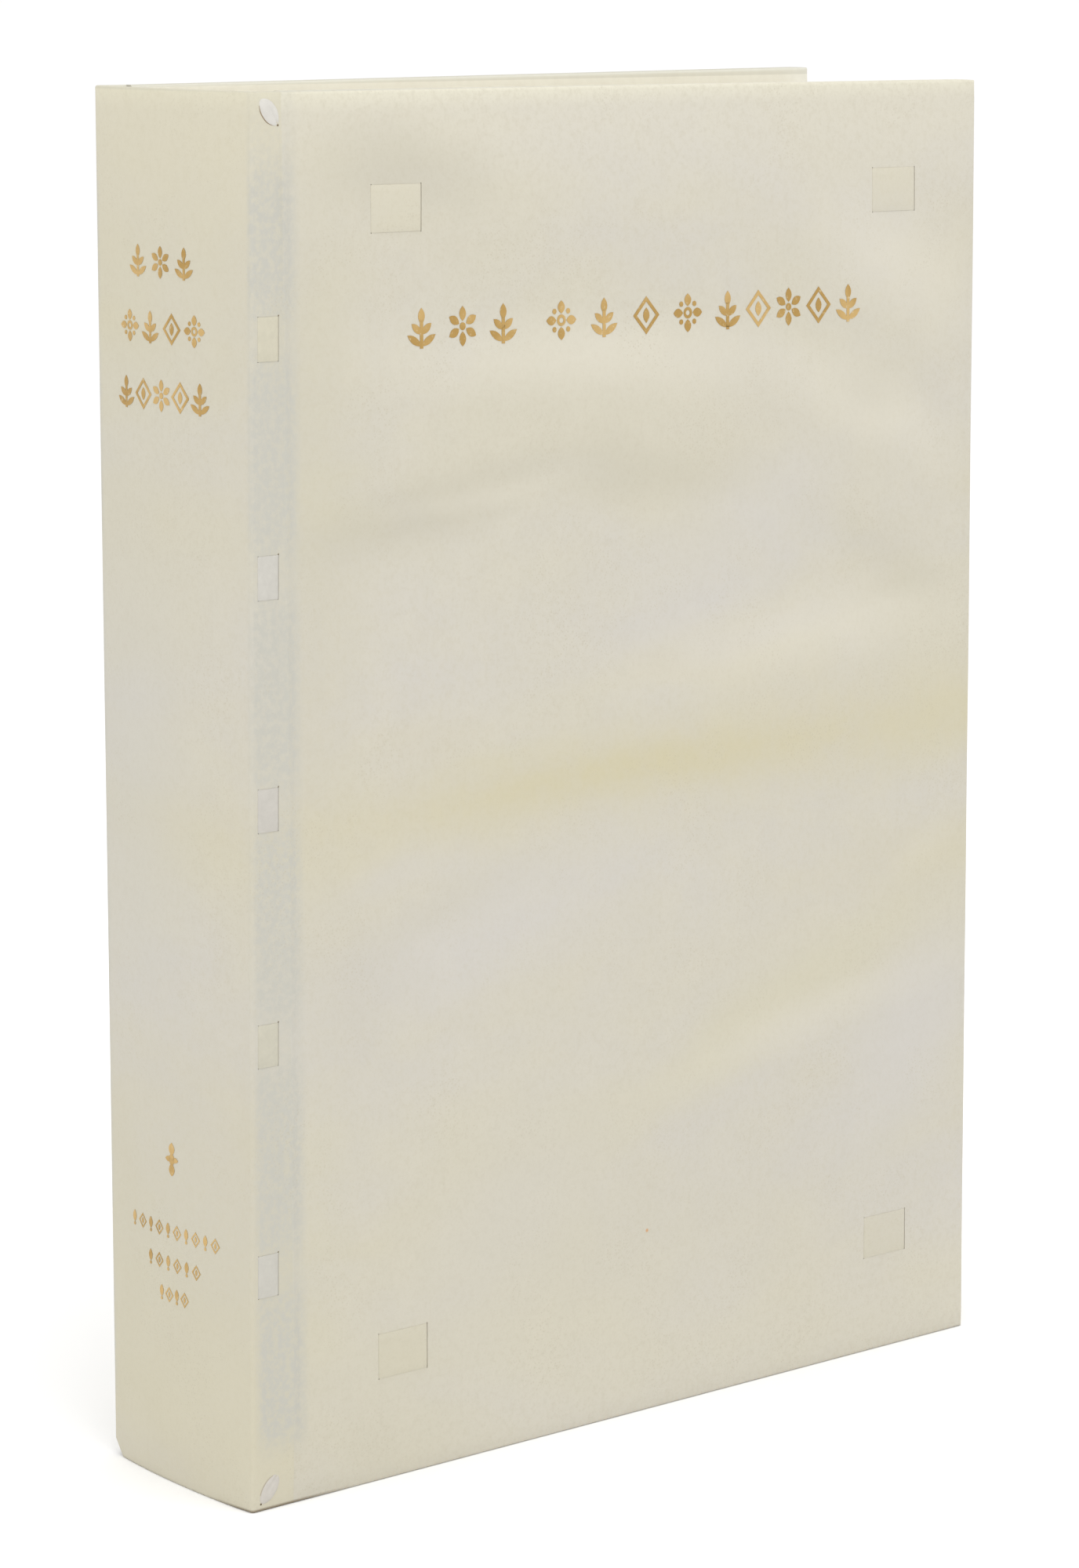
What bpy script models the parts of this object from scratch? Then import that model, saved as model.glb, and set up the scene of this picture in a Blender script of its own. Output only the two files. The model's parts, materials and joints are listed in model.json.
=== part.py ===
"""A large folio bible in a laced vellum case, standing on its tail, built from separate pieces.

Metres, +Z up.  The spine looks to -X, the fore-edge to +X, the front cover to -Y and the back cover to +Y.
The origin is at the bottom centre of the whole book.  Depth means distance inwards from a cover's outer face.
"""

import math

import bmesh
import bpy
from mathutils import Matrix, Vector

# ---- the whole book ----
HEIGHT = 0.413
WIDTH = 0.295
THICKNESS = 0.074
FRONT = -1
BACK = 1
SIDES = {"front": FRONT, "back": BACK}

# ---- the spine and the outer joints ----
SPINE_BOW = 0.002
SPINE_CORNER = 0.0016
JOINT_STRIP = 0.011
HINGE_OUT = 0.0007
HINGE_GAP = 0.0003
X_SPINE = -WIDTH / 2 + SPINE_BOW
X_FORE = WIDTH / 2
X_HINGE = X_SPINE + JOINT_STRIP
Y_FACE = THICKNESS / 2

# ---- vellum, board and paper ----
SKIN = 0.0008
TURN_IN = 0.0007
TURN_IN_SPINE = 0.016
TURN_IN_COVER = 0.018
FLAP = 0.005
COVER_DEPTH = 0.0039
COVER_ROUND = 0.001
BOARD_LOW, BOARD_HIGH = 0.001, 0.003
PASTEDOWN_LOW, PASTEDOWN_HIGH = 0.004, 0.0043
PASTEDOWN_MARGIN = 0.006
FLYLEAF_LOW, FLYLEAF_HIGH = 0.0046, 0.0049
CLEARANCE = 0.0002

# ---- the text block ----
GATHERINGS_PER_HALF = 8
LEAVES_START = 0.0052
GATHERING_PITCH = 0.00397
GATHERING_THICK = 0.00387
SQUARE = 0.007
FORE_SQUARE = 0.0045
FOLDS_START = 0.0026
GUTTER_GAP = 0.00015

# ---- lacing ----
THONG = 0.0007
PROUD = 0.0005
SLIT = 0.0011
SLIT_X = (0.0026, 0.0096)
SLIP_CENTRES = (0.0708, 0.1394, 0.2085, 0.2757, 0.3436)
SLIP_HEIGHT = 0.0142
SLIP_SPINE_X = 0.0016
SLIP_INSIDE = 0.0014
LINING_X = (0.0017, 0.0022)
LINING_GAP = 0.001
LINING_SIDE = 0.004

STRIP_LENGTH = 0.019
STRIP_HEIGHT = 0.0138
STRIP_LEG = 0.0026
STRIP_LEFT_X = X_SPINE + 0.043
STRIP_RIGHT_X = X_FORE - 0.0277 - STRIP_LENGTH
STRIP_HEAD_Z = HEIGHT - 0.027 - STRIP_HEIGHT
STRIP_TAIL_Z = 0.0316
STRIP_PLACES = (
    (STRIP_LEFT_X, STRIP_TAIL_Z),
    (STRIP_RIGHT_X, STRIP_TAIL_Z),
    (STRIP_LEFT_X, STRIP_HEAD_Z),
    (STRIP_RIGHT_X, STRIP_HEAD_Z),
)

ENDBAND_X = X_SPINE + 0.0064
ENDBAND_RADIUS = 0.0015
ENDBAND_HOLE = 0.0019
ENDBAND_ABOVE = 0.0017
LACE_LENGTH = 0.0102
LACE_WIDTH = 0.0054

COLOURS = {
    "vellum": (0.70, 0.66, 0.55, 1.0),
    "tawed_skin": (0.86, 0.84, 0.78, 1.0),
    "board": (0.42, 0.34, 0.25, 1.0),
    "paper": (0.82, 0.78, 0.68, 1.0),
    "lining": (0.72, 0.67, 0.56, 1.0),
}


# ---- small helpers ----
def clear_scene():
    for old in list(bpy.data.objects):
        bpy.data.objects.remove(old, do_unlink=True)


def new_collection(name):
    collection = bpy.data.collections.new(name)
    bpy.context.scene.collection.children.link(collection)
    return collection


def new_material(name, kind, roughness):
    material = bpy.data.materials.new(name)
    material.use_nodes = True
    shader = material.node_tree.nodes["Principled BSDF"]
    shader.inputs["Base Color"].default_value = COLOURS[kind]
    shader.inputs["Roughness"].default_value = roughness
    material.diffuse_color = COLOURS[kind]
    return material


def add_object(name, mesh, collection, kind=None, roughness=0.6):
    item = bpy.data.objects.new(name, mesh)
    collection.objects.link(item)
    if kind:
        mesh.materials.append(new_material(name + "_material", kind, roughness))
    return item


def mesh_from(name, geometry):
    bmesh.ops.recalc_face_normals(geometry, faces=geometry.faces)
    mesh = bpy.data.meshes.new(name)
    geometry.to_mesh(mesh)
    geometry.free()
    return mesh


def box_mesh(name, x_range, y_range, z_range):
    geometry = bmesh.new()
    lows = Vector((min(x_range), min(y_range), min(z_range)))
    highs = Vector((max(x_range), max(y_range), max(z_range)))
    size = highs - lows
    placing = Matrix.Translation((lows + highs) / 2) @ Matrix.Diagonal((*size, 1.0))
    bmesh.ops.create_cube(geometry, size=1.0, matrix=placing)
    return mesh_from(name, geometry)


def prism_mesh(name, outline, z_low, z_high):
    """A flat outline in X and Y, raised from z_low to z_high."""
    geometry = bmesh.new()
    corners = [geometry.verts.new((x, y, z_low)) for x, y in outline]
    base = geometry.faces.new(corners)
    raised = bmesh.ops.extrude_face_region(geometry, geom=[base])
    top = [item for item in raised["geom"] if isinstance(item, bmesh.types.BMVert)]
    bmesh.ops.translate(geometry, verts=top, vec=(0, 0, z_high - z_low))
    return mesh_from(name, geometry)


def offset_path(path, distance):
    """Each point of an open path, moved to its left by distance with mitred corners."""
    points = [Vector(point) for point in path]
    moved = []
    for index, point in enumerate(points):
        normals = []
        for start, end in ((index - 1, index), (index, index + 1)):
            if start >= 0 and end < len(points):
                along = (points[end] - points[start]).normalized()
                normals.append(Vector((-along.y, along.x)))
        mitre = sum(normals, Vector((0, 0)))
        scale = len(normals) / max(mitre.length_squared, 1e-9)
        moved.append(point + mitre * distance * scale)
    return moved


def ribbon_outline(path, right, left):
    return offset_path(path, -right) + list(reversed(offset_path(path, left)))


def depth_y(side, depth):
    return side * (Y_FACE - depth)


def add_modifier_boolean(item, cutter, operation="DIFFERENCE"):
    modifier = item.modifiers.new(cutter.name, "BOOLEAN")
    modifier.operation = operation
    modifier.solver = "EXACT"
    modifier.object = cutter


def add_bevel(item, width, segments=2):
    modifier = item.modifiers.new("rounded_edges", "BEVEL")
    modifier.width = width
    modifier.segments = segments
    modifier.limit_method = "ANGLE"


def make_cutter(mesh, cutters):
    cutter = add_object(mesh.name, mesh, cutters)
    cutter.hide_render = True
    cutter.display_type = "WIRE"
    return cutter


def cut_box(item, name, x_range, y_range, z_range, cutters):
    add_modifier_boolean(item, make_cutter(box_mesh(name, x_range, y_range, z_range), cutters))


def set_pivot(item, x, y):
    """Puts the object's origin on an upright axis through x, y without moving its shape."""
    item.data.transform(Matrix.Translation((-x, -y, 0)))
    item.location = (x, y, 0)


# ---- spine body ----
def spine_path(overrun=0.0):
    """The outer line of the spine and both joint strips, from the front strip round to the back strip."""
    end_x = X_HINGE - HINGE_GAP + overrun
    path = [(end_x, -Y_FACE)]
    flat = Y_FACE - SPINE_CORNER
    for step in range(5):
        angle = math.radians(22.5 * step)
        path.append((X_SPINE + SPINE_CORNER * (1 - math.sin(angle)), -flat - SPINE_CORNER * math.cos(angle)))
    for step in range(1, 12):
        y = -flat + 2 * flat * step / 12
        path.append((X_SPINE - SPINE_BOW * (1 - (y / flat) ** 2), y))
    for step in range(5):
        angle = math.radians(90 - 22.5 * step)
        path.append((X_SPINE + SPINE_CORNER * (1 - math.sin(angle)), flat + SPINE_CORNER * math.cos(angle)))
    path.append((end_x, Y_FACE))
    return path


def make_spine_cover(parts, cutters):
    """One vellum channel: the spine panel and the strip on each side of it, doubled at head and tail."""
    doubled = SKIN + TURN_IN
    path = spine_path()
    outline = path + list(reversed(offset_path(path, -doubled)))
    spine = add_object("spine_cover", prism_mesh("spine_cover", outline, 0, HEIGHT), parts, "vellum", 0.5)
    long_path = spine_path(overrun=0.002)
    inner = offset_path(long_path, -SKIN) + list(reversed(offset_path(long_path, -doubled - 0.001)))
    single = prism_mesh("spine_single_layer_cut", inner, TURN_IN_SPINE, HEIGHT - TURN_IN_SPINE)
    add_modifier_boolean(spine, make_cutter(single, cutters))
    for number, centre in enumerate(SLIP_CENTRES, start=1):
        z_range = (centre - SLIP_HEIGHT / 2 - CLEARANCE, centre + SLIP_HEIGHT / 2 + CLEARANCE)
        for side_name, side in SIDES.items():
            for slit_number, slit_x in enumerate(SLIT_X, start=1):
                x_range = (X_SPINE + slit_x - SLIT / 2, X_SPINE + slit_x + SLIT / 2)
                y_range = (depth_y(side, -0.001), depth_y(side, 0.0022))
                name = f"slit_{side_name}_{number}_{slit_number}_cut"
                cut_box(spine, name, x_range, y_range, z_range, cutters)
    for end_name, end_z in endband_heights().items():
        mesh = rod_mesh(f"endband_holes_{end_name}_cut", ENDBAND_HOLE, THICKNESS + 0.004, end_z)
        add_modifier_boolean(spine, make_cutter(mesh, cutters))


def rod_mesh(name, radius, length, z):
    """A round bar across the spine, at the endbands' place."""
    geometry = bmesh.new()
    placing = Matrix.Translation((ENDBAND_X, 0, z)) @ Matrix.Rotation(math.radians(90), 4, "X")
    bmesh.ops.create_cone(
        geometry, cap_ends=True, segments=20, radius1=radius, radius2=radius, depth=length, matrix=placing)
    return mesh_from(name, geometry)


def endband_heights():
    above = SQUARE - ENDBAND_ABOVE
    return {"head": HEIGHT - above, "tail": above}


def make_slips(parts):
    """Each tawed slip crosses the spine inside and is laced out and back in through both joint strips."""
    corner_x = X_SPINE + SLIP_SPINE_X
    front = [
        (X_HINGE - 0.0009, SLIP_INSIDE),
        (X_SPINE + SLIT_X[1], SLIP_INSIDE),
        (X_SPINE + SLIT_X[1], -PROUD),
        (X_SPINE + SLIT_X[0], -PROUD),
        (X_SPINE + SLIT_X[0], SLIP_INSIDE),
        (corner_x, SLIP_INSIDE),
    ]
    path = [(x, depth_y(FRONT, depth)) for x, depth in front]
    path += [(x, depth_y(BACK, depth)) for x, depth in reversed(front)]
    outline = ribbon_outline(path, THONG / 2, THONG / 2)
    for number, centre in enumerate(SLIP_CENTRES, start=1):
        name = f"sewing_slip_{number}"
        mesh = prism_mesh(name, outline, centre - SLIP_HEIGHT / 2, centre + SLIP_HEIGHT / 2)
        add_object(name, mesh, parts, "tawed_skin", 0.7)


def make_linings(parts):
    """A transverse lining on each stretch of the spine between the slips."""
    half = SLIP_HEIGHT / 2 + LINING_GAP
    lows = [SQUARE] + [centre + half for centre in SLIP_CENTRES]
    highs = [centre - half for centre in SLIP_CENTRES] + [HEIGHT - SQUARE]
    x_range = (X_SPINE + LINING_X[0], X_SPINE + LINING_X[1])
    y_range = (-Y_FACE + LINING_SIDE, Y_FACE - LINING_SIDE)
    for number, z_range in enumerate(zip(lows, highs), start=1):
        name = f"spine_lining_{number}"
        add_object(name, box_mesh(name, x_range, y_range, z_range), parts, "lining", 0.8)


def lace_outline(rising):
    """The leaf-shaped end of an endband core, in X and Z about its own centre."""
    half_length = LACE_LENGTH / 2
    half_width = LACE_WIDTH / 2
    leaf = [(-half_length, 0), (-half_length / 3, half_width), (half_length / 3, half_width)]
    leaf += [(half_length, 0), (half_length / 3, -half_width), (-half_length / 3, -half_width)]
    angle = math.radians(45 if rising else -45)
    cosine, sine = math.cos(angle), math.sin(angle)
    return [(x * cosine - z * sine, x * sine + z * cosine) for x, z in leaf]


def make_endband(name, z, rising, parts, cutters):
    """A core across the spine folds, laced out through each joint strip to a leaf-shaped end."""
    core_mesh = rod_mesh(name, ENDBAND_RADIUS, THICKNESS + 2 * PROUD, z)
    core = add_object(name, core_mesh, parts, "tawed_skin", 0.7)
    for side_name, side in SIDES.items():
        lace = prism_mesh(f"{name}_{side_name}_lace", lace_outline(rising), -THONG / 2, THONG / 2)
        upright = Matrix.Rotation(math.radians(90), 4, "X")
        lace.transform(Matrix.Translation((ENDBAND_X, depth_y(side, -PROUD), z)) @ upright)
        add_modifier_boolean(core, make_cutter(lace, cutters), "UNION")


def gathering_depth(number):
    return LEAVES_START + (number - 1) * GATHERING_PITCH


def gathering_axis(side, number):
    """Where a gathering turns: the first on the cover's hinge, the others on a line at 45 degrees from it."""
    if number == 1:
        return X_HINGE, side * (Y_FACE + HINGE_OUT)
    depth = gathering_depth(number)
    return X_HINGE + HINGE_OUT + depth, depth_y(side, depth)


def make_sewn_folds(parts):
    """The sewn gutter ends of all the gatherings, which stay with the spine while the leaves turn."""
    back_x = X_SPINE + FOLDS_START
    outline = []
    for number in range(1, GATHERINGS_PER_HALF + 1):
        edge_x = gathering_axis(FRONT, number)[0] - GUTTER_GAP
        low = gathering_depth(number)
        outline += [(edge_x, depth_y(FRONT, low)), (edge_x, depth_y(FRONT, low + GATHERING_PITCH))]
    middle_x = outline[-1][0]
    outline[-1] = (middle_x, 0)
    mirrored = [(x, -y) for x, y in reversed(outline[:-1])]
    outline = [(back_x, outline[0][1])] + outline[:-1] + mirrored + [(back_x, -outline[0][1])]
    mesh = prism_mesh("sewn_folds", outline, SQUARE, HEIGHT - SQUARE)
    add_object("sewn_folds", mesh, parts, "paper", 0.85)


# ---- cover bodies ----
def make_cover(side_name, side, parts, cutters):
    """A vellum panel folded round three edges of its board, with a bare flap along the hinge."""
    x_range = (X_HINGE + HINGE_GAP, X_FORE)
    y_range = (depth_y(side, 0), depth_y(side, COVER_DEPTH))
    name = f"{side_name}_cover"
    cover = add_object(name, box_mesh(name, x_range, y_range, (0, HEIGHT)), parts, "vellum", 0.5)
    add_bevel(cover, COVER_ROUND)
    board_start = X_HINGE + FLAP
    turned_low = COVER_DEPTH - TURN_IN
    below = COVER_DEPTH + 0.002
    cuts = {
        "board_space": ((board_start, X_FORE - SKIN), (SKIN, turned_low), (SKIN, HEIGHT - SKIN)),
        "inner_window": ((board_start, X_FORE - TURN_IN_COVER), (turned_low - 0.0003, below),
                         (TURN_IN_COVER, HEIGHT - TURN_IN_COVER)),
        "hinge_flap": ((X_HINGE - 0.002, board_start + CLEARANCE), (SKIN, below),
                       (TURN_IN_SPINE, HEIGHT - TURN_IN_SPINE)),
        "hinge_ends": ((X_HINGE - 0.002, board_start - CLEARANCE), (SKIN + TURN_IN, below), (-0.001, HEIGHT + 0.001)),
    }
    for cut_name, (cut_x, depths, cut_z) in cuts.items():
        cut_y = (depth_y(side, depths[0]), depth_y(side, depths[1]))
        cut_box(cover, f"{side_name}_{cut_name}_cut", cut_x, cut_y, cut_z, cutters)
    cut_strip_slits(cover, side_name, side, "skin", (-0.001, SKIN + 0.0002), SLIT, cutters)
    set_pivot(cover, X_HINGE, side * (Y_FACE + HINGE_OUT))


def cut_strip_slits(item, side_name, side, layer, depths, width, cutters):
    for number, (x, z) in enumerate(STRIP_PLACES, start=1):
        for end_name, centre in (("near", x + THONG / 2), ("far", x + STRIP_LENGTH - THONG / 2)):
            name = f"{side_name}_{layer}_slit_{number}_{end_name}_cut"
            x_range = (centre - width / 2, centre + width / 2)
            y_range = (depth_y(side, depths[0]), depth_y(side, depths[1]))
            z_range = (z - CLEARANCE, z + STRIP_HEIGHT + CLEARANCE)
            cut_box(item, name, x_range, y_range, z_range, cutters)


def make_board(side_name, side, parts, cutters):
    name = f"{side_name}_board"
    x_range = (X_HINGE + FLAP + CLEARANCE, X_FORE - SKIN - CLEARANCE)
    y_range = (depth_y(side, BOARD_LOW), depth_y(side, BOARD_HIGH))
    z_range = (SKIN + CLEARANCE, HEIGHT - SKIN - CLEARANCE)
    board = add_object(name, box_mesh(name, x_range, y_range, z_range), parts, "board", 0.9)
    cut_strip_slits(board, side_name, side, "board", (0, BOARD_HIGH + 0.001), SLIT + 0.0002, cutters)
    set_pivot(board, X_HINGE, side * (Y_FACE + HINGE_OUT))


def make_corner_strips(side_name, side, parts):
    """A vellum strip near each corner, laced out and back in through two slits."""
    for number, (x, z) in enumerate(STRIP_PLACES, start=1):
        near = x + THONG / 2
        far = x + STRIP_LENGTH - THONG / 2
        line = [(near, STRIP_LEG), (near, -PROUD), (far, -PROUD), (far, STRIP_LEG)]
        path = [(px, depth_y(side, depth)) for px, depth in line]
        name = f"{side_name}_corner_strip_{number}"
        outline = ribbon_outline(path, THONG / 2, THONG / 2)
        strip = add_object(name, prism_mesh(name, outline, z, z + STRIP_HEIGHT), parts, "vellum", 0.5)
        set_pivot(strip, X_HINGE, side * (Y_FACE + HINGE_OUT))


def make_sheet(name, side, depths, x_range, margin, parts, axis):
    y_range = (depth_y(side, depths[0]), depth_y(side, depths[1]))
    z_range = (margin, HEIGHT - margin)
    sheet = add_object(name, box_mesh(name, x_range, y_range, z_range), parts, "paper", 0.85)
    set_pivot(sheet, *axis)


def make_paper(side_name, side, parts):
    """The pastedown and the free flyleaf of one cover, then its half of the gatherings."""
    hinge = (X_HINGE, side * (Y_FACE + HINGE_OUT))
    paste_x = (X_HINGE + 0.0006, X_FORE - PASTEDOWN_MARGIN)
    make_sheet(f"{side_name}_pastedown", side, (PASTEDOWN_LOW, PASTEDOWN_HIGH), paste_x, PASTEDOWN_MARGIN,
               parts, hinge)
    leaf_x = (X_HINGE + 0.0004, X_FORE - FORE_SQUARE)
    make_sheet(f"{side_name}_flyleaf", side, (FLYLEAF_LOW, FLYLEAF_HIGH), leaf_x, SQUARE, parts, hinge)
    for number in range(1, GATHERINGS_PER_HALF + 1):
        axis = gathering_axis(side, number)
        low = gathering_depth(number)
        order = number if side == FRONT else 2 * GATHERINGS_PER_HALF + 1 - number
        x_range = (axis[0] + GUTTER_GAP, X_FORE - FORE_SQUARE)
        make_sheet(f"gathering_{order:02d}", side, (low, low + GATHERING_THICK), x_range, SQUARE, parts, axis)


def build():
    clear_scene()
    parts = new_collection("bible")
    cutters = new_collection("cutters")
    make_spine_cover(parts, cutters)
    make_slips(parts)
    make_linings(parts)
    heights = endband_heights()
    make_endband("head_endband", heights["head"], False, parts, cutters)
    make_endband("tail_endband", heights["tail"], True, parts, cutters)
    make_sewn_folds(parts)
    for side_name, side in SIDES.items():
        make_cover(side_name, side, parts, cutters)
        make_board(side_name, side, parts, cutters)
        make_corner_strips(side_name, side, parts)
        make_paper(side_name, side, parts)


build()
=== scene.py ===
"""Looks for the folio bible: laced vellum case, tawed slips, gilt ornament, leaves from the spine fold to
the fore-edge.

Everything is in metres in the CAD frame.  Depth means distance inwards from a cover's outer face, so a
negative depth stands proud of it.  side is -1 for the front of the book and +1 for the back.
"""

import json
import math
import random

import bmesh
import bpy
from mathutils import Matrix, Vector, noise


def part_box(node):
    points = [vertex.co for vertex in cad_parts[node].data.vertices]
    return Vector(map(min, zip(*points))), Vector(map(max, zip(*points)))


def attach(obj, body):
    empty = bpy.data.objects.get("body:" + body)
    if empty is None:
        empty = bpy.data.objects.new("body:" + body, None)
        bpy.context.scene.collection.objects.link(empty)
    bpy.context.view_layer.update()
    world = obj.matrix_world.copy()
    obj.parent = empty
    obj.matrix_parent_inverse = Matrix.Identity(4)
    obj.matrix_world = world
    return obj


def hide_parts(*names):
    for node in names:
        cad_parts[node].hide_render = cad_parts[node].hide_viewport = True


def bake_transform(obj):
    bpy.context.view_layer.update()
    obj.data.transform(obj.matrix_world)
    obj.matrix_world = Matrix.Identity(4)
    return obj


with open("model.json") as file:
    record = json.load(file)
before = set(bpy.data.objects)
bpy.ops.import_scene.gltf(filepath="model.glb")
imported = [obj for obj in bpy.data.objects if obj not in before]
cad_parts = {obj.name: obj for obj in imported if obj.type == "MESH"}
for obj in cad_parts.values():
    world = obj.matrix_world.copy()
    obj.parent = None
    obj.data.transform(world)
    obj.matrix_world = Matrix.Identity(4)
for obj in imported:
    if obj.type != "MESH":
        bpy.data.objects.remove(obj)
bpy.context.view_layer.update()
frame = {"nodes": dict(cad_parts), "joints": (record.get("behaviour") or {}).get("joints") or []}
JOINTS = {joint["name"]: joint for joint in frame["joints"]}
MM = 0.001

# ---- driving sizes, from the frame ----
SPINE_LOW, SPINE_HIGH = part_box("spine_cover")
HEIGHT = SPINE_HIGH.z
FACE = SPINE_HIGH.y
BOW = 2 * MM
CREASE_X = SPINE_LOW.x + BOW
HINGE_X = JOINTS["front_cover_hinge"]["pos_m"][0]
HINGE_Y = abs(JOINTS["front_cover_hinge"]["pos_m"][1])
RIDGE = HINGE_Y - FACE
FORE_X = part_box("front_cover")[1].x
LEAF_LOW, LEAF_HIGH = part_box("gathering_01")
SIDES = {"front": -1, "back": 1}

# ---- sizes of the looks ----
SKIN = 0.45 * MM
COVER_DEPTH = 3.9 * MM
EDGE_ROUND = 1.1 * MM
LAST_HAIR_STEP = 7  # the last step round a cover's fold that shows the hair side
TURN_IN = 17 * MM
JOINT_STATIONS = 11  # how many points of the spine's outer line lie on each joint
SPINE_TURN_IN = 16 * MM
SPINE_FOLD = 0.65 * MM
CORNER_ROUND = 1.1 * MM
SLIT_NEAR, SLIT_FAR = CREASE_X + 2.3 * MM, CREASE_X + 9.9 * MM
SLIT_WIDE = 0.36 * MM
SLIT_OVERCUT = 0.16 * MM
SLANT = 4.9 * MM
SPLAY = 4.6 * MM
RACK_HINGE, RACK_FORE, RACK_FRONT = 0.5 * MM, 2.1 * MM, -0.9 * MM
FORE_SKEW, FORE_SHORT = 2.5 * MM, 1.8 * MM
JOINT_EDGE = 1.0 * MM
TAIL_CORNER = 5 * MM
TAIL_DROP = 0.2 * MM
TAIL_SHARP = 0.4
LEAVES_PER_GATHERING = 20
GATHERINGS_PER_HALF = 8
LEAF_THICK = 0.16 * MM
LEAF_BEND = 14 * MM

ROUND_SIDES = 14
STRIP_THICK = 0.22 * MM
STRIP_SOFT = 0.06 * MM
GILT_LIFT = 0.07 * MM
LINE_CLEAR = 1.2 * MM  # the least distance between a slit's lines and a grid's other lines
THREAD_TURNS = 74
TURN_STEPS = 12
SLIP_TALL = 12.6 * MM
SLIP_NUMBERS = range(1, 6)
STRIP_NUMBERS = range(1, 5)
SLIP_MIDDLES = [sum(corner.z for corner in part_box(f"sewing_slip_{number}")) / 2 for number in SLIP_NUMBERS]
SLIPS = [(middle - SLIP_TALL / 2, middle + SLIP_TALL / 2) for middle in SLIP_MIDDLES]
STRIPS = [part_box(f"front_corner_strip_{number}") for number in STRIP_NUMBERS]

# How a strip and a slip come out of a slit, as (way along from the slit's edge, depth) in mm.
STRIP_OUT = ((0.1, 1.6), (0.02, 0.6), (0.06, 0.15), (0.4, -0.02), (1.4, -0.05))
SLIP_OUT = ((-0.8, 1.4), (-0.3, 1.3), (-0.05, 0.6), (0.03, 0.12), (0.35, -0.03), (1.2, -0.08))
SLIP_BACK = ((-1.2, -0.08), (-0.35, -0.03), (-0.03, 0.1), (0.05, 0.6), (0.2, 1.3))


# ---- camera ----
def add_camera():
    data = bpy.data.cameras.new("camera")
    data.lens = 109.15
    data.sensor_width = 36.0
    camera = bpy.data.objects.new("camera", data)
    camera.location = (-0.9690, -1.1000, 0.4461)
    camera.rotation_euler = (math.radians(90 - 9.699), 0, math.radians(-41.217))
    bpy.context.scene.collection.objects.link(camera)
    bpy.context.scene.camera = camera


# ---- small helpers ----
def clamp(value):
    return max(0.0, min(1.0, value))


def smooth(value):
    value = clamp(value)
    return value * value * (3 - 2 * value)


def mix(low, high, share):
    return low + (high - low) * share


def spread(low, high, count):
    return [mix(low, high, step / (count - 1)) for step in range(count)]


def with_lines(lines, extra):
    """The lines, less those too close to one of the extra lines, with the extra lines put in."""
    kept = [line for line in lines if all(abs(line - other) > LINE_CLEAR for other in extra)]
    return sorted(kept + list(extra))


def settle(x, y, z):
    """How the real book stands: racked and splayed a little and a touch lower at the tail, where the front
    corner of its spine is further out than at the head and the back corner is rounded."""
    along = clamp((x - HINGE_X) / (FORE_X - HINGE_X))
    inward = clamp((y + FACE) / (2 * FACE))
    outward = smooth((HINGE_X - x) / JOINT_EDGE)
    up = z / HEIGHT
    slant = (SLANT * (1 - up) - 0.4 * MM) * outward * (1 - inward)
    skew = along * (FORE_SKEW * (1 - inward) * (1 - up) - FORE_SHORT * inward)
    drop = TAIL_DROP * (1 - smooth(z / (120 * MM)))
    rack = mix(RACK_FRONT * along, mix(RACK_HINGE, RACK_FORE, along), inward) * up
    corner = smooth((y - FACE + TAIL_CORNER) / TAIL_CORNER) * smooth((CREASE_X + 8 * MM - x) / (8 * MM))
    rounding = TAIL_CORNER * corner * (1 - clamp(z / (3 * TAIL_CORNER))) ** 2
    return Vector((x - slant + skew, y + SPLAY * along * inward, z + rack + rounding - drop))


def place(x, side, depth, z):
    return settle(x, side * (FACE - depth), z)


def add_mesh(name, mesh, material, smooth_shaded=True):
    piece = bpy.data.objects.new(name, mesh)
    bpy.context.scene.collection.objects.link(piece)
    mesh.materials.append(material)
    if smooth_shaded:
        mesh.shade_smooth()
    return piece


def surface(name, rows, material, towards=None):
    """A piece that is one open surface over rows of points."""
    geometry = bmesh.new()
    add_grid(geometry, rows)
    return add_mesh(name, finish_mesh(name, geometry, towards), material)


def finish_mesh(name, geometry, towards=None):
    """The mesh, with its first face turned to look along towards and the others to match."""
    if towards is None:
        bmesh.ops.recalc_face_normals(geometry, faces=geometry.faces)
    else:
        geometry.faces.ensure_lookup_table()
        face = geometry.faces[0]
        face.normal_update()
        if face.normal.dot(Vector(towards)) < 0:
            bmesh.ops.reverse_faces(geometry, faces=geometry.faces)
    mesh = bpy.data.meshes.new(name)
    geometry.to_mesh(mesh)
    geometry.free()
    return mesh


def add_grid(geometry, rows, left_open=None):
    """A surface over rows of points; left_open says which cells stay holes."""
    made = [[geometry.verts.new(point) for point in row] for row in rows]
    for i in range(len(made) - 1):
        for j in range(len(made[0]) - 1):
            if left_open and left_open(i, j):
                continue
            geometry.faces.new((made[i][j], made[i][j + 1], made[i + 1][j + 1], made[i + 1][j]))
    return made


def close_sheets(geometry, lower, upper):
    """Walls between the edges of two grids of the same shape."""
    last_row, last_column = len(lower) - 1, len(lower[0]) - 1
    edge = [(0, j) for j in range(last_column + 1)]
    edge += [(i, last_column) for i in range(1, last_row + 1)]
    edge += [(last_row, j) for j in range(last_column - 1, -1, -1)]
    edge += [(i, 0) for i in range(last_row - 1, 0, -1)]
    for (i, j), (k, m) in zip(edge, edge[1:] + edge[:1]):
        geometry.faces.new((lower[i][j], lower[k][m], upper[k][m], upper[i][j]))


def polar(radius, angle):
    return radius * math.cos(angle), radius * math.sin(angle)


def circle(radius, count):
    """Points round a circle about 0, 0."""
    return [polar(radius, 2 * math.pi * step / count) for step in range(count)]


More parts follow.
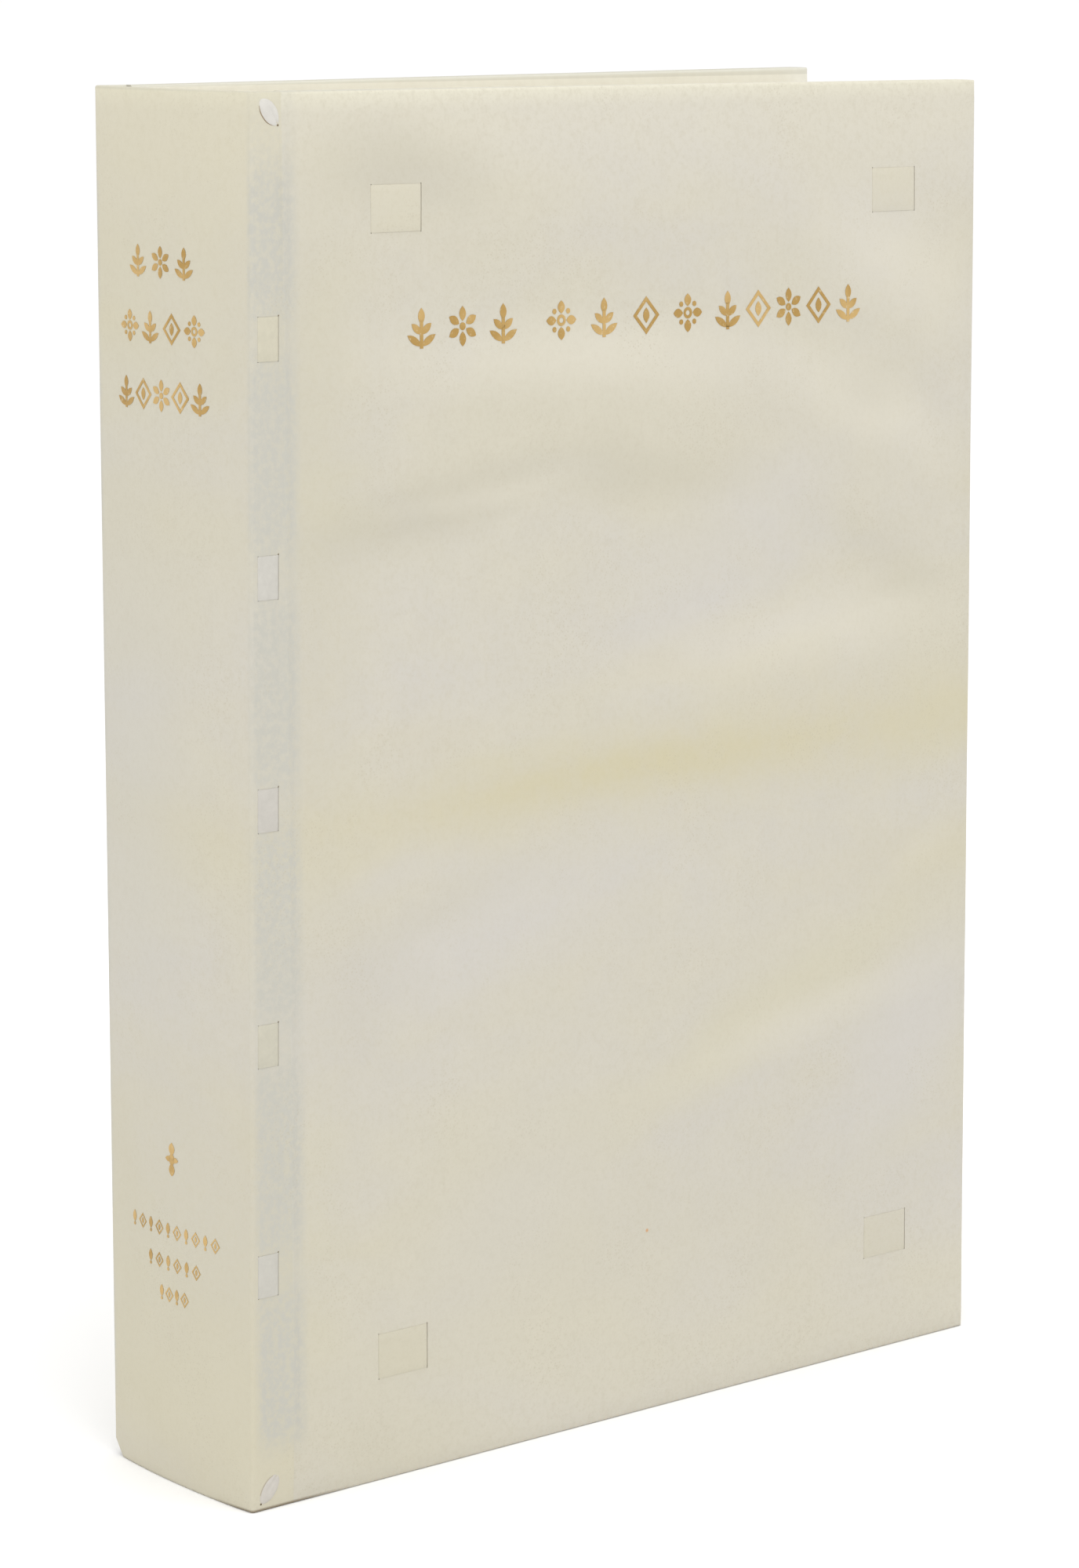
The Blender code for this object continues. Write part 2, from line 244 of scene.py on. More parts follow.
def thicken(piece, thickness, offset=-1.0):
    modifier = piece.modifiers.new("thickness", "SOLIDIFY")
    modifier.thickness = thickness
    modifier.offset = offset
    modifier.use_even_offset = False


def soften(piece, width):
    modifier = piece.modifiers.new("soft_edges", "BEVEL")
    modifier.width = width
    modifier.segments = 2
    modifier.limit_method = "ANGLE"
    modifier.angle_limit = math.radians(40)


def crisp(piece, degrees=38):
    """Bakes the modifiers and shades smooth, with edges past that angle kept sharp."""
    apply_modifiers(piece)
    piece.data.shade_smooth()
    piece.data.set_sharp_from_angle(angle=math.radians(degrees))


def apply_modifiers(piece):
    """Bakes the modifiers into the mesh."""
    graph = bpy.context.evaluated_depsgraph_get()
    baked = bpy.data.meshes.new_from_object(piece.evaluated_get(graph))
    piece.modifiers.clear()
    piece.data = baked


# ---- material graphs ----
def srgb(red, green, blue):
    """A colour named by its 0 to 255 screen values, as linear light."""
    def linear(value):
        share = value / 255
        return share / 12.92 if share <= 0.04045 else ((share + 0.055) / 1.055) ** 2.4
    return (linear(red), linear(green), linear(blue), 1.0)


class Graph:
    """A short way to write one material's nodes."""

    def __init__(self, name):
        self.material = bpy.data.materials.new(name)
        self.material.use_nodes = True
        self.tree = self.material.node_tree
        self.shader = self.tree.nodes["Principled BSDF"]
        self.place = self.add("ShaderNodeTexCoord").outputs["Object"]
        split = self.add("ShaderNodeSeparateXYZ")
        self.link(self.place, split.inputs[0])
        self.x, self.y, self.z = split.outputs
        self.waves = None

    def add(self, kind, **inputs):
        """A node with its inputs fed; an input's name has _ for a space."""
        node = self.tree.nodes.new(kind)
        self.feed_all(node, inputs)
        return node

    def feed_all(self, node, inputs):
        for name, value in inputs.items():
            self.feed(value, node.inputs[name.replace("_", " ")])

    def link(self, source, socket):
        self.tree.links.new(source, socket)

    def feed(self, value, socket):
        if isinstance(value, (int, float, tuple)):
            socket.default_value = value
        else:
            self.link(value, socket)

    def maths(self, operation, *values):
        return self.operate("ShaderNodeMath", operation, values).outputs[0]

    def operate(self, kind, operation, values):
        node = self.add(kind)
        node.operation = operation
        for socket, value in zip(node.inputs, values):
            self.feed(value, socket)
        return node

    def times(self, first, *others):
        for other in others:
            first = self.maths("MULTIPLY", first, other)
        return first

    def plus(self, first, second):
        return self.maths("ADD", first, second)

    def minus(self, first, second):
        return self.maths("SUBTRACT", first, second)

    def away(self, value, centre):
        """How far value is from centre, without its sign."""
        return self.maths("ABSOLUTE", self.minus(value, centre))

    def wave(self, value, length):
        return self.maths("SINE", self.times(value, 2 * math.pi / length))

    def noise(self, scale, detail=2.0, roughness=0.5, stretch=None, warp=0.0):
        place = self.stretched(*stretch) if stretch else self.place
        return self.add("ShaderNodeTexNoise", Vector=place, Scale=scale, Detail=detail, Roughness=roughness,
                        Distortion=warp).outputs["Fac"]

    def stretched(self, x, y, z, turn=0):
        """The place, scaled along x, y and z and turned about y by degrees."""
        rotation = (0, math.radians(turn), 0)
        node = self.add("ShaderNodeMapping", Vector=self.place, Scale=(x, y, z), Rotation=rotation)
        return node.outputs["Vector"]

    def cells(self, scale):
        return self.add("ShaderNodeTexVoronoi", Vector=self.place, Scale=scale).outputs["Distance"]

    def between(self, value, low, high, out_low=0.0, out_high=1.0):
        """A smooth step from out_low, where value is at low, to out_high, where it is at high."""
        node = self.add("ShaderNodeMapRange", Value=value, From_Min=low, From_Max=high, To_Min=out_low,
                        To_Max=out_high)
        node.interpolation_type = "SMOOTHSTEP"
        return node.outputs["Result"]

    def blend(self, share, low, high):
        node = self.add("ShaderNodeMix")
        node.data_type = "RGBA"
        self.feed(share, node.inputs["Factor"])
        colours = [socket for socket in node.inputs if socket.type == "RGBA"]
        self.feed(low, colours[0])
        self.feed(high, colours[1])
        return [socket for socket in node.outputs if socket.type == "RGBA"][0]

    def tint(self, colour, shade, value, low, high, share):
        """The colour, going over to a share of the shade as value rises from low to high."""
        return self.blend(self.between(value, low, high, 0.0, share), colour, shade)

    def bell(self, value, centre, width):
        """1 where value is at centre, falling smoothly to 0 over about twice the width."""
        away = self.maths("DIVIDE", self.minus(value, centre), width)
        return self.maths("POWER", math.e, self.times(away, away, -1.0))

    def drift(self, colour, centre, angle, reach, shade, share):
        """A soft oval of another shade, wavering at its edge; centre and reach are in x and z."""
        oval = self.add("ShaderNodeMapping")
        oval.vector_type = "TEXTURE"
        any_depth = 1000.0
        self.feed_all(oval, {"Vector": self.wavering(), "Location": (centre[0], 0, centre[1]),
                             "Rotation": (0, -math.radians(angle), 0),
                             "Scale": (reach[0], any_depth, reach[1])})
        away = self.operate("ShaderNodeVectorMath", "LENGTH", [oval.outputs["Vector"]])
        return self.blend(self.between(away.outputs["Value"], 0.0, 1.0, share, 0.0), colour, shade)

    def wavering(self):
        """The place, moved about by a few millimetres in slow waves; made once and then used again."""
        if self.waves is None:
            reach = 8 * MM
            waves = self.add("ShaderNodeTexNoise", Vector=self.place, Scale=16.0).outputs["Color"]
            moved = self.operate("ShaderNodeVectorMath", "MULTIPLY_ADD",
                                 [waves, (2 * reach, 0.0, 2 * reach), self.place]).outputs["Vector"]
            centred = self.operate("ShaderNodeVectorMath", "SUBTRACT", [moved, (reach, 0.0, reach)])
            self.waves = centred.outputs["Vector"]
        return self.waves

    def bump(self, height, strength, distance, under=None):
        """A normal from a height, over the normal under it."""
        node = self.add("ShaderNodeBump", Height=height, Strength=strength, Distance=distance)
        if under is not None:
            self.link(under, node.inputs["Normal"])
        return node.outputs["Normal"]

    def finish(self, colour, roughness, normal=None, **settings):
        self.feed_all(self.shader, {"Base Color": colour, "Roughness": roughness, **settings})
        if normal is not None:
            self.link(normal, self.shader.inputs["Normal"])
        return self.material


# ---- materials ----
# The shades of the vellum.
WARM = srgb(193, 188, 171)
COOL = srgb(191, 187, 179)
BLUE = srgb(186, 184, 180)
PALE = srgb(203, 198, 182)
# painted highlight in a band just below the head, where the skin curves over it
HEAD_HIGHLIGHT = srgb(213, 209, 190)
# the flesh side: paler in itself, and lightened further as painted light against the shade between the
# covers
FLESH_AND_PAINTED_LIGHT = srgb(223, 221, 209)
# the head's top edge: a little greyer in itself, and darkened further as painted shade on a face that the
# lamps above light
FOLD_GREY_AND_SHADE = srgb(190, 188, 175)
YELLOW = srgb(191, 183, 151)
CREAM = srgb(196, 189, 161)
STREAK = srgb(189, 180, 141)
THIN = srgb(181, 179, 169)
PORE = srgb(176, 168, 147)
# painted light, over the cockles and where the lamps fall
PAINTED_LIGHT = srgb(213, 208, 194)
# painted shade, over the cockles, across the cover and low on the spine
PAINTED_SHADE = srgb(173, 168, 151)
COOLER = srgb(191, 188, 187)
WARMER = srgb(192, 186, 155)
FLECK = srgb(196, 140, 84)
# painted contact shadow along the tail
TAIL_SHADOW = srgb(112, 98, 76)

SLIP_SHADES = ((190, 187, 178), (190, 186, 170), (189, 185, 177), (192, 189, 181), (195, 190, 171))

# The cockles and clouds of the front cover, as ovals in mm; the lighter and darker ovals are painted light
# and shade over the cockles and the fall of the light, the cooler and warmer ones tints of the skin:
# distance from the spine, height, slope in degrees, half length, half width, shade, strength.
FRONT_DRIFTS = (
    (131, 332, -2, 130, 19, PAINTED_LIGHT, 0.36),
    (245, 310, -24, 62, 18, PAINTED_LIGHT, 0.36),
    (258, 357, -29, 62, 26, PAINTED_LIGHT, 0.32),
    (60, 290, 9, 64, 16, PAINTED_SHADE, 0.42),
    (146, 297, -3, 80, 15, PAINTED_SHADE, 0.26),
    (250, 264, -24, 60, 16, PAINTED_SHADE, 0.18),
    (216, 239, 4, 105, 20, PAINTED_LIGHT, 0.30),
    (56, 389, -4, 54, 20, PAINTED_SHADE, 0.40),
    (188, 274, 20, 85, 30, COOLER, 0.30),
    (168, 250, 12, 62, 15, COOLER, 0.25),
    (93, 166, 19, 95, 34, COOLER, 0.28),
    (270, 105, 53, 66, 38, COOLER, 0.44),
    (212, 124, 24, 115, 20, WARMER, 0.30),
    (218, 115, 12, 100, 13, PAINTED_LIGHT, 0.18),
    (17, 79, 84, 80, 26, WARMER, 0.30),
    (98, 76, 38, 70, 40, COOLER, 0.20),
    (276, 201, 10, 50, 16, WARMER, 0.30),
    (38, 148, 90, 64, 32, PAINTED_SHADE, 0.15),
    (22, 290, 90, 170, 30, PAINTED_SHADE, 0.16),
    (22, 300, 90, 160, 34, WARMER, 0.22),
    (47, 380, 0, 11, 11, PAINTED_SHADE, 0.08),
    (245, 314, -15, 26, 13, PAINTED_SHADE, 0.18),
    (75, 171, 22, 46, 12, PAINTED_SHADE, 0.14),
    (84, 293, 4, 62, 6, PAINTED_LIGHT, 0.20),
    (262, 251, 8, 30, 7, PAINTED_SHADE, 0.16),
    (271, 163, 10, 20, 9, PAINTED_LIGHT, 0.16),
    (58, 183, 10, 42, 10, COOLER, 0.30),
    (190, 240, 6, 60, 9, COOLER, 0.22),
    (100, 214, 5, 55, 6, WARMER, 0.20),
)


def vellum_colour(graph):
    """Cream skin with broad cool and warm clouds, paler towards the head with a painted highlight, painted
    shade on its top edge, and a fine mottle.
    """
    clouds = graph.noise(7.5, 3.0, 0.55, (1.0, 1.0, 1.9, 12.0), 0.4)
    colour = graph.blend(graph.between(clouds, 0.34, 0.74), WARM, COOL)
    warm = graph.noise(11.0, 2.0, 0.5, (0.8, 1.0, 2.2, 8.0), 0.3)
    colour = graph.tint(colour, YELLOW, warm, 0.54, 0.84, 0.35)
    colour = graph.tint(colour, PALE, graph.z, HEIGHT - 52 * MM, HEIGHT, 0.7)
    # painted highlight just below the head
    colour = graph.tint(colour, HEAD_HIGHLIGHT, graph.z, HEIGHT - 7 * MM, HEIGHT, 0.7)
    # painted shade, with some real greying, on the head's top edge
    colour = graph.tint(colour, FOLD_GREY_AND_SHADE, graph.z, HEIGHT - 0.6 * MM, HEIGHT - 0.1 * MM, 0.9)
    low = graph.between(graph.z, 0.0, 70 * MM, 0.45, 0.0)
    tail = graph.times(low, graph.between(graph.x, -120 * MM, -40 * MM))
    colour = graph.blend(tail, colour, PALE)
    colour = graph.tint(colour, PALE, graph.noise(120.0, 4.0, 0.6), 0.35, 0.75, 0.18)
    colour = graph.tint(colour, PORE, graph.noise(480.0, 2.0, 0.6), 0.42, 0.72, 0.17)
    return graph.tint(colour, PORE, graph.noise(1200.0, 2.0, 0.6), 0.45, 0.8, 0.20)


def add_tail_shadow(graph, colour):
    """A painted brown contact shadow along the tail, where it meets the floor, strongest at the front corner
    of the spine.
    """
    low = graph.between(graph.z, 0.3 * MM, 1.0 * MM, 1.0, 0.0)
    near = graph.between(graph.away(graph.x, CREASE_X + 3 * MM), 6 * MM, 34 * MM, 0.8, 0.08)
    front = graph.between(graph.y, -FACE + 1 * MM, -FACE + 24 * MM, 1.0, 0.12)
    return graph.blend(graph.times(low, near, front), colour, TAIL_SHADOW)


def vellum_pores(graph):
    """1 at a hair follicle, in drifting patches."""
    pores = graph.between(graph.cells(950.0), 0.16, 0.34, 1.0, 0.0)
    return graph.times(pores, graph.between(graph.noise(38.0, 3.0, 0.6), 0.46, 0.66))


def add_front_streaks(graph, colour):
    """The drifts of the front cover, the lighter and darker ones painted light and shade, the long yellow
    vein across it with a wider echo near the fore-edge, and one rusty fleck."""
    for across, up, slope, long, wide, shade, share in FRONT_DRIFTS:
        centre = (CREASE_X + across * MM, up * MM)
        colour = graph.drift(colour, centre, slope, (long * MM, wide * MM), shade, share)
    sway = graph.times(graph.minus(graph.noise(14.0, 2.0), 0.5), 5 * MM)
    from_spine = graph.minus(graph.x, CREASE_X)
    rise = graph.maths("MULTIPLY_ADD", from_spine, 0.033, 200.3 * MM)
    line = graph.plus(graph.minus(graph.z, rise), sway)
    strong = graph.bell(from_spine, 142 * MM, 78 * MM)
    core = graph.times(graph.bell(line, 0.0, 8 * MM), graph.maths("MULTIPLY_ADD", strong, 0.46, 0.08))
    rising = graph.between(from_spine, -60 * MM, 280 * MM, 0.16, 0.50)
    halo = graph.times(graph.bell(line, -1 * MM, 17 * MM), rising)
    grain = graph.between(graph.noise(120.0, 3.0, 0.6), 0.25, 0.7, 0.72, 1.0)
    colour = graph.blend(graph.times(halo, grain), colour, YELLOW)
    colour = graph.blend(graph.times(core, grain), colour, STREAK)
    echo = graph.bell(graph.plus(graph.minus(graph.z, 163 * MM), sway), 0.0, 12 * MM)
    outer = graph.between(from_spine, 175 * MM, 265 * MM)
    colour = graph.blend(graph.times(echo, outer, 0.26), colour, YELLOW)
    fleck_x = graph.minus(graph.x, CREASE_X + 152 * MM)
    fleck_z = graph.minus(graph.z, 58 * MM)
    reach = graph.maths("SQRT", graph.plus(graph.times(fleck_x, fleck_x), graph.times(fleck_z, fleck_z)))
    return graph.blend(graph.between(reach, 0.3 * MM, 0.8 * MM, 0.75, 0.0), colour, FLECK)


def joint_mask(graph):
    """1 on the thin skin of the joint, less where it is doubled at head and tail or lies over a slip."""
    across = graph.between(graph.x, HINGE_X + 2 * MM, HINGE_X + 7 * MM, 1.0, 0.0)
    onto_spine = graph.between(graph.x, CREASE_X - 3.7 * MM, CREASE_X + 0.9 * MM)
    sides = graph.between(graph.maths("ABSOLUTE", graph.y), FACE - 2.5 * MM, FACE - 0.5 * MM)
    head = graph.between(graph.z, HEIGHT - 34 * MM, HEIGHT - 8 * MM, 1.0, 0.22)
    tail = graph.between(graph.z, 12 * MM, 26 * MM)
    mask = graph.times(across, onto_spine, sides, graph.times(head, tail))
    for middle in SLIP_MIDDLES:
        over = graph.bell(graph.minus(graph.z, middle), 0.0, 8.5 * MM)
        mask = graph.times(mask, graph.minus(1.0, graph.times(over, 0.6)))
    return mask


def add_cream(graph, colour, share):
    """Warmer towards head and tail, cooler at mid height by the back, and darker in the lower half with
    painted shade.
    """
    colour = graph.tint(colour, CREAM, graph.away(graph.z, 235 * MM), 60 * MM, 165 * MM, share)
    # painted shade over the lower half
    colour = graph.blend(graph.times(graph.bell(graph.z, 88 * MM, 70 * MM), 0.16), colour, PAINTED_SHADE)
    cool = graph.between(graph.away(graph.z, 208 * MM), 10 * MM, 110 * MM, 0.85 * share, 0.0)
    back = graph.between(graph.y, -26 * MM, 22 * MM)
    return graph.blend(graph.times(cool, back), colour, BLUE)


def vellum(name, streaks=False, joint=True, cream=0.0):
    """The hair side of the skin; cream is how far it is tinted towards a warmer cream."""
    graph = Graph(name)
    colour = vellum_colour(graph)
    if streaks:
        colour = add_front_streaks(graph, colour)
    if cream:
        colour = add_cream(graph, colour, cream)
    if joint:
        fibrous = graph.between(graph.noise(430.0, 4.0, 0.7), 0.35, 0.65, 0.42, 1.15)
        colour = graph.blend(graph.times(joint_mask(graph), fibrous), colour, THIN)
    pores = vellum_pores(graph)
    colour = graph.blend(graph.times(pores, 0.40), colour, PORE)
    # painted contact shadow along the tail
    colour = add_tail_shadow(graph, colour)
    wrinkle = graph.noise(210.0, 4.0, 0.55, (1.0, 1.0, 1.5, 25.0))
    relief = graph.maths("MULTIPLY_ADD", pores, -0.5, graph.noise(1700.0, 3.0, 0.6))
    normal = graph.bump(relief, 0.35, 0.06 * MM, graph.bump(wrinkle, 0.30, 0.22 * MM))
    roughness = graph.between(graph.noise(60.0, 3.0), 0.3, 0.7, 0.46, 0.60)
    return graph.finish(colour, roughness, normal, Specular_IOR_Level=0.35)


def flesh_side(name):
    """The paler, more matt inner side of the skin, seen on the turn-ins, made lighter still as painted light
    where it lies in shade between the covers.
    """
    graph = Graph(name)
    nap = graph.noise(300.0, 4.0, 0.65)
    colour = graph.blend(graph.between(nap, 0.3, 0.75, 0.0, 0.2), FLESH_AND_PAINTED_LIGHT, PALE)
    colour = graph.tint(colour, PALE, graph.noise(26.0, 3.0, 0.6, warp=1.2), 0.50, 0.60, 0.10)
    # painted shade, with some real greying, on the head's top edge
    colour = graph.tint(colour, FOLD_GREY_AND_SHADE, graph.z, HEIGHT - 0.5 * MM, HEIGHT - 0.1 * MM, 0.5)
    return graph.finish(colour, 0.7, graph.bump(nap, 0.4, 0.1 * MM), Specular_IOR_Level=0.25)


def darkened(shade, share):
    return tuple(value * share for value in shade[:3]) + (1.0,)


def tawed(name, *shade):
    """Alum-tawed skin: soft nap, faint grain."""
    graph = Graph(name)
    light = srgb(*shade)
    nap = graph.noise(420.0, 4.0, 0.65)
    colour = graph.blend(graph.between(nap, 0.3, 0.75), darkened(light, 0.93), light)
    return graph.finish(colour, 0.82, graph.bump(nap, 0.4, 0.10 * MM), Specular_IOR_Level=0.2)


def paper(name, *shade):
    """Cream handmade paper with laid lines, fibres and a toned edge."""
    graph = Graph(name)
    fibre = graph.noise(650.0, 4.0, 0.7)
    colour = graph.tint(srgb(*shade), srgb(229, 220, 198), graph.noise(18.0, 3.0, 0.6), 0.35, 0.7, 0.35)
    colour = graph.tint(colour, srgb(214, 202, 176), fibre, 0.5, 0.8, 0.3)
    toned_from, toned_to = LEAF_HIGH.x - 9 * MM, LEAF_HIGH.x + 1 * MM
    colour = graph.tint(colour, srgb(222, 206, 172), graph.x, toned_from, toned_to, 0.35)
    layers = graph.noise(2400.0, 3.0, 0.7, (0.003, 1.0, 0.003))
    colour = graph.tint(colour, srgb(200, 187, 158), layers, 0.45, 0.75, 0.2)
    relief = graph.maths("MULTIPLY_ADD", layers, 2.0, fibre)
    relief = graph.maths("MULTIPLY_ADD", graph.wave(graph.z, 1.1 * MM), 0.16, relief)
    return graph.finish(colour, 0.88, graph.bump(relief, 0.3, 0.04 * MM), Specular_IOR_Level=0.25)


def gilt(name):
    """Blocked gold leaf on vellum, worn thin in places so that the skin's cream shows."""
    graph = Graph(name)
    tone = graph.between(graph.noise(45.0, 3.0, 0.6), 0.38, 0.62)
    colour = graph.blend(tone, srgb(172, 138, 76), srgb(196, 164, 106))
    worn = graph.between(graph.noise(700.0, 4.0, 0.7), 0.56, 0.70)
    colour = graph.blend(graph.times(worn, 0.5), colour, srgb(204, 190, 156))
    graph.link(graph.between(worn, 0.0, 1.0, 0.55, 0.15), graph.shader.inputs["Metallic"])
    return graph.finish(colour, 0.42, graph.bump(graph.noise(1500.0, 2.0), 0.3, 0.04 * MM))


def board_stuff(name):
    graph = Graph(name)
    fibre = graph.noise(300.0, 4.0, 0.7, (1.0, 1.0, 3.0))
    colour = graph.blend(graph.between(fibre, 0.3, 0.7), srgb(150, 128, 98), srgb(176, 154, 122))
    return graph.finish(colour, 0.95, graph.bump(fibre, 0.5, 0.2 * MM), Specular_IOR_Level=0.15)


def linen(name, *shade):
    """Plain woven cloth."""
    graph = Graph(name)
    weave = graph.times(graph.wave(graph.y, 0.7 * MM), graph.wave(graph.z, 0.7 * MM))
    dark = srgb(*[value * 0.9 for value in shade])
    colour = graph.blend(graph.between(weave, -0.8, 0.8), dark, srgb(*shade))
    return graph.finish(colour, 0.9, graph.bump(weave, 0.6, 0.1 * MM), Specular_IOR_Level=0.2)


def thread(name, *shade):
    graph = Graph(name)
    light = srgb(*shade)
    twist = graph.noise(2600.0, 2.0, 0.6)
    colour = graph.blend(graph.between(twist, 0.35, 0.65), darkened(light, 0.72), light)
    return graph.finish(colour, 0.6, graph.bump(twist, 0.5, 0.05 * MM), Sheen_Weight=0.25)


# painted shadow: the dark colour of the awl holes and slit ends, standing in for the shade inside them
def hole_shadow(name):
    graph = Graph(name)
    grain = graph.between(graph.noise(900.0, 2.0), 0.3, 0.7)
    return graph.finish(graph.blend(grain, srgb(84, 70, 48), srgb(120, 102, 74)), 0.95)


# ---- the covers ----
def cover_lift(side, x, z):
    """How far the skin of a cover cockles outwards: long waves that rise towards the fore-edge."""
    seed = 3.1 if side < 0 else 17.7
    u, v = (x - HINGE_X) / MM, z / MM
    wave = noise.noise(Vector((u * 0.0035, (v - 0.32 * u) * 0.017, seed)))
    wide = noise.noise(Vector((u * 0.006, v * 0.006, seed + 5)))
    ends = min(smooth(z / (22 * MM)), smooth((HEIGHT - z) / (22 * MM)))
    edge = min(ends, smooth((FORE_X - x) / (25 * MM)))
    hinge = smooth((x - HINGE_X) / (14 * MM))
    return (0.30 + 0.55 * wave + 0.25 * wide) * MM * mix(0.25, 1.0, edge) * hinge


def ridge_lift(x, z):
    """The raised crease at the outer joint, which comes up to the hinge's axis but not at head and tail."""
    away = abs(x - HINGE_X) / (3.0 * MM if x > HINGE_X else 0.95 * MM)
    ends = smooth(z / (25 * MM)) * smooth((HEIGHT - z) / (35 * MM))
    return RIDGE * ends * (1 - smooth(away))


def strip_columns():
    """The columns of the slits that the corner strips pass through."""
    columns = []
    for low_x, high_x in sorted({(round(low.x, 6), round(high.x, 6)) for low, high in STRIPS}):
        columns += [(low_x, low_x + SLIT_WIDE), (high_x - SLIT_WIDE, high_x)]
    return columns


def strip_rows():
    """The heights that those slits span."""
    spans = sorted({(round(low.z, 6), round(high.z, 6)) for low, high in STRIPS})
    return [(low - SLIT_OVERCUT, high + SLIT_OVERCUT) for low, high in spans]


def inside_any(value, spans):
    return any(low < value < high for low, high in spans)


def flat_values(spans):
    return [value for span in spans for value in span]


def cover_outline(rows):
    """The outer face's edge from the tail at the hinge, round the fore-edge, to the head at the hinge, as
    row, column and outward direction.  The tail edge is sharper than the others."""
    top, end = len(rows) - 1, len(rows[0]) - 1
    outline = [(0, column, (0, -TAIL_SHARP)) for column in range(end)]
    outline.append((0, end, (0.8, -0.8 * TAIL_SHARP)))
    outline += [(row, end, (1, 0)) for row in range(1, top)]
    outline.append((top, end, (0.8, 0.8)))
    return outline + [(top, column, (0, 1)) for column in range(end - 1, -1, -1)]


def rim_profile():
    """(outward, depth) round the fold from the outer face to the inner face, in two quarter turns."""
    turns = [polar(EDGE_ROUND, math.radians(18 * step)) for step in range(6)]
    profile = [(across, EDGE_ROUND - along) for along, across in turns[1:]]
    return profile + [(along, COVER_DEPTH - EDGE_ROUND + across) for along, across in turns]


def make_cover_skin(side_name, side, material, inner_material):
    """A cover's outer face, the folds round its three edges and the turn-ins inside them."""
    columns, spans = strip_columns(), strip_rows()
    xs = [HINGE_X + step * 0.5 * MM for step in range(8)]
    xs += spread(HINGE_X + 5.5 * MM, FORE_X - EDGE_ROUND, 56)
    xs = with_lines(xs, flat_values(columns))
    zs = with_lines(spread(EDGE_ROUND * TAIL_SHARP, HEIGHT - EDGE_ROUND, 80), flat_values(spans))

    def left_open(i, j):
        return inside_any((xs[j] + xs[j + 1]) / 2, columns) and inside_any((zs[i] + zs[i + 1]) / 2, spans)

    def point(x, z, depth, share=1.0):
        return place(x, side, depth - (cover_lift(side, x, z) + ridge_lift(x, z)) * share, z)

    rows = [[point(x, z, 0.0) for x in xs] for z in zs]
    geometry = bmesh.new()
    made = add_grid(geometry, rows, left_open)
    outline = cover_outline(rows)
    loop = [made[row][column] for row, column, _ in outline]
    for step, (outward, depth) in enumerate(rim_profile()):
        spots = []
        for row, column, (across, up) in outline:
            share = 1 - depth / COVER_DEPTH
            spots.append(point(xs[column] + across * outward, zs[row] + up * outward, depth, share))
        loop = bridge(geometry, loop, spots, int(step > LAST_HAIR_STEP))
    for inset in (2 * MM, 5 * MM, 9 * MM, 13 * MM, TURN_IN - 0.4 * MM, TURN_IN):
        depth = COVER_DEPTH + (0.5 * MM if inset == TURN_IN else 0)
        spots = []
        for row, column, _ in outline:
            wander = noise.noise(Vector((xs[column] * 45, zs[row] * 45, side)))
            ragged = inset + 0.8 * MM * wander * (inset > 12 * MM)
            x = mix(HINGE_X + 0.3 * MM, FORE_X - ragged, (xs[column] - HINGE_X) / (xs[-1] - HINGE_X))
            z = mix(ragged, HEIGHT - ragged, (zs[row] - zs[0]) / (zs[-1] - zs[0]))
            spots.append(place(x, side, depth, z))
        loop = bridge(geometry, loop, spots, 1)
    name = f"{side_name}_cover_skin"
    skin = add_mesh(name, finish_mesh(name, geometry, (0, side, 0)), material)
    skin.data.materials.append(inner_material)
    thicken(skin, SKIN)
    crisp(skin)
    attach(skin, f"{side_name}_cover")
    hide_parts(f"{side_name}_cover")


def make_hinge_edge(side_name, side, material):
    """The strip of skin that closes a cover's edge at the hinge, narrower inside the folds at both ends."""
    rows = []
    for z in [SKIN] + spread(EDGE_ROUND, HEIGHT - EDGE_ROUND, 60) + [HEIGHT - SKIN]:
        inset = max(0.0, EDGE_ROUND - min(z, HEIGHT - z))
        depths = spread(0.3 * MM + inset, COVER_DEPTH - 0.2 * MM - inset, 5)
        rows.append([place(HINGE_X + 0.05 * MM, side, depth, z) for depth in depths])
    strip = surface(f"{side_name}_hinge_edge", rows, material, (-1, 0, 0))
    thicken(strip, 0.3 * MM)
    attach(strip, f"{side_name}_cover")


def bridge(geometry, loop, spots, material_index):
    """Faces from a line of vertices to new ones at the spots, which it returns."""
    fresh = [geometry.verts.new(spot) for spot in spots]
    for index in range(len(loop) - 1):
        face = geometry.faces.new((loop[index + 1], loop[index], fresh[index], fresh[index + 1]))
        face.material_index = material_index
    return fresh


def make_board(side_name, side, material):
    """The board, a thin box that follows how its cover stands."""
    low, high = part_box(f"{side_name}_board")
    xs = spread(low.x + 0.5 * MM, high.x - 1 * MM, 12)
    zs = spread(low.z + 1 * MM, high.z - 1 * MM, 10)
    geometry = bmesh.new()
    faces = []
    for depth in (0.6 * MM, 3.4 * MM):
        faces.append(add_grid(geometry, [[place(x, side, depth, z) for x in xs] for z in zs]))
    close_sheets(geometry, *faces)
    board = add_mesh(f"{side_name}_board_core", finish_mesh("board", geometry), material, False)
    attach(board, f"{side_name}_cover")
    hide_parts(f"{side_name}_board")


def laced_skin(name, rows, material):
    """A strip of skin over rows of points, with its cut edges softened."""
    strip = surface(name, rows, material)
    thicken(strip, STRIP_THICK, 0.0)
    soften(strip, STRIP_SOFT)
    crisp(strip, degrees=50)
    return strip


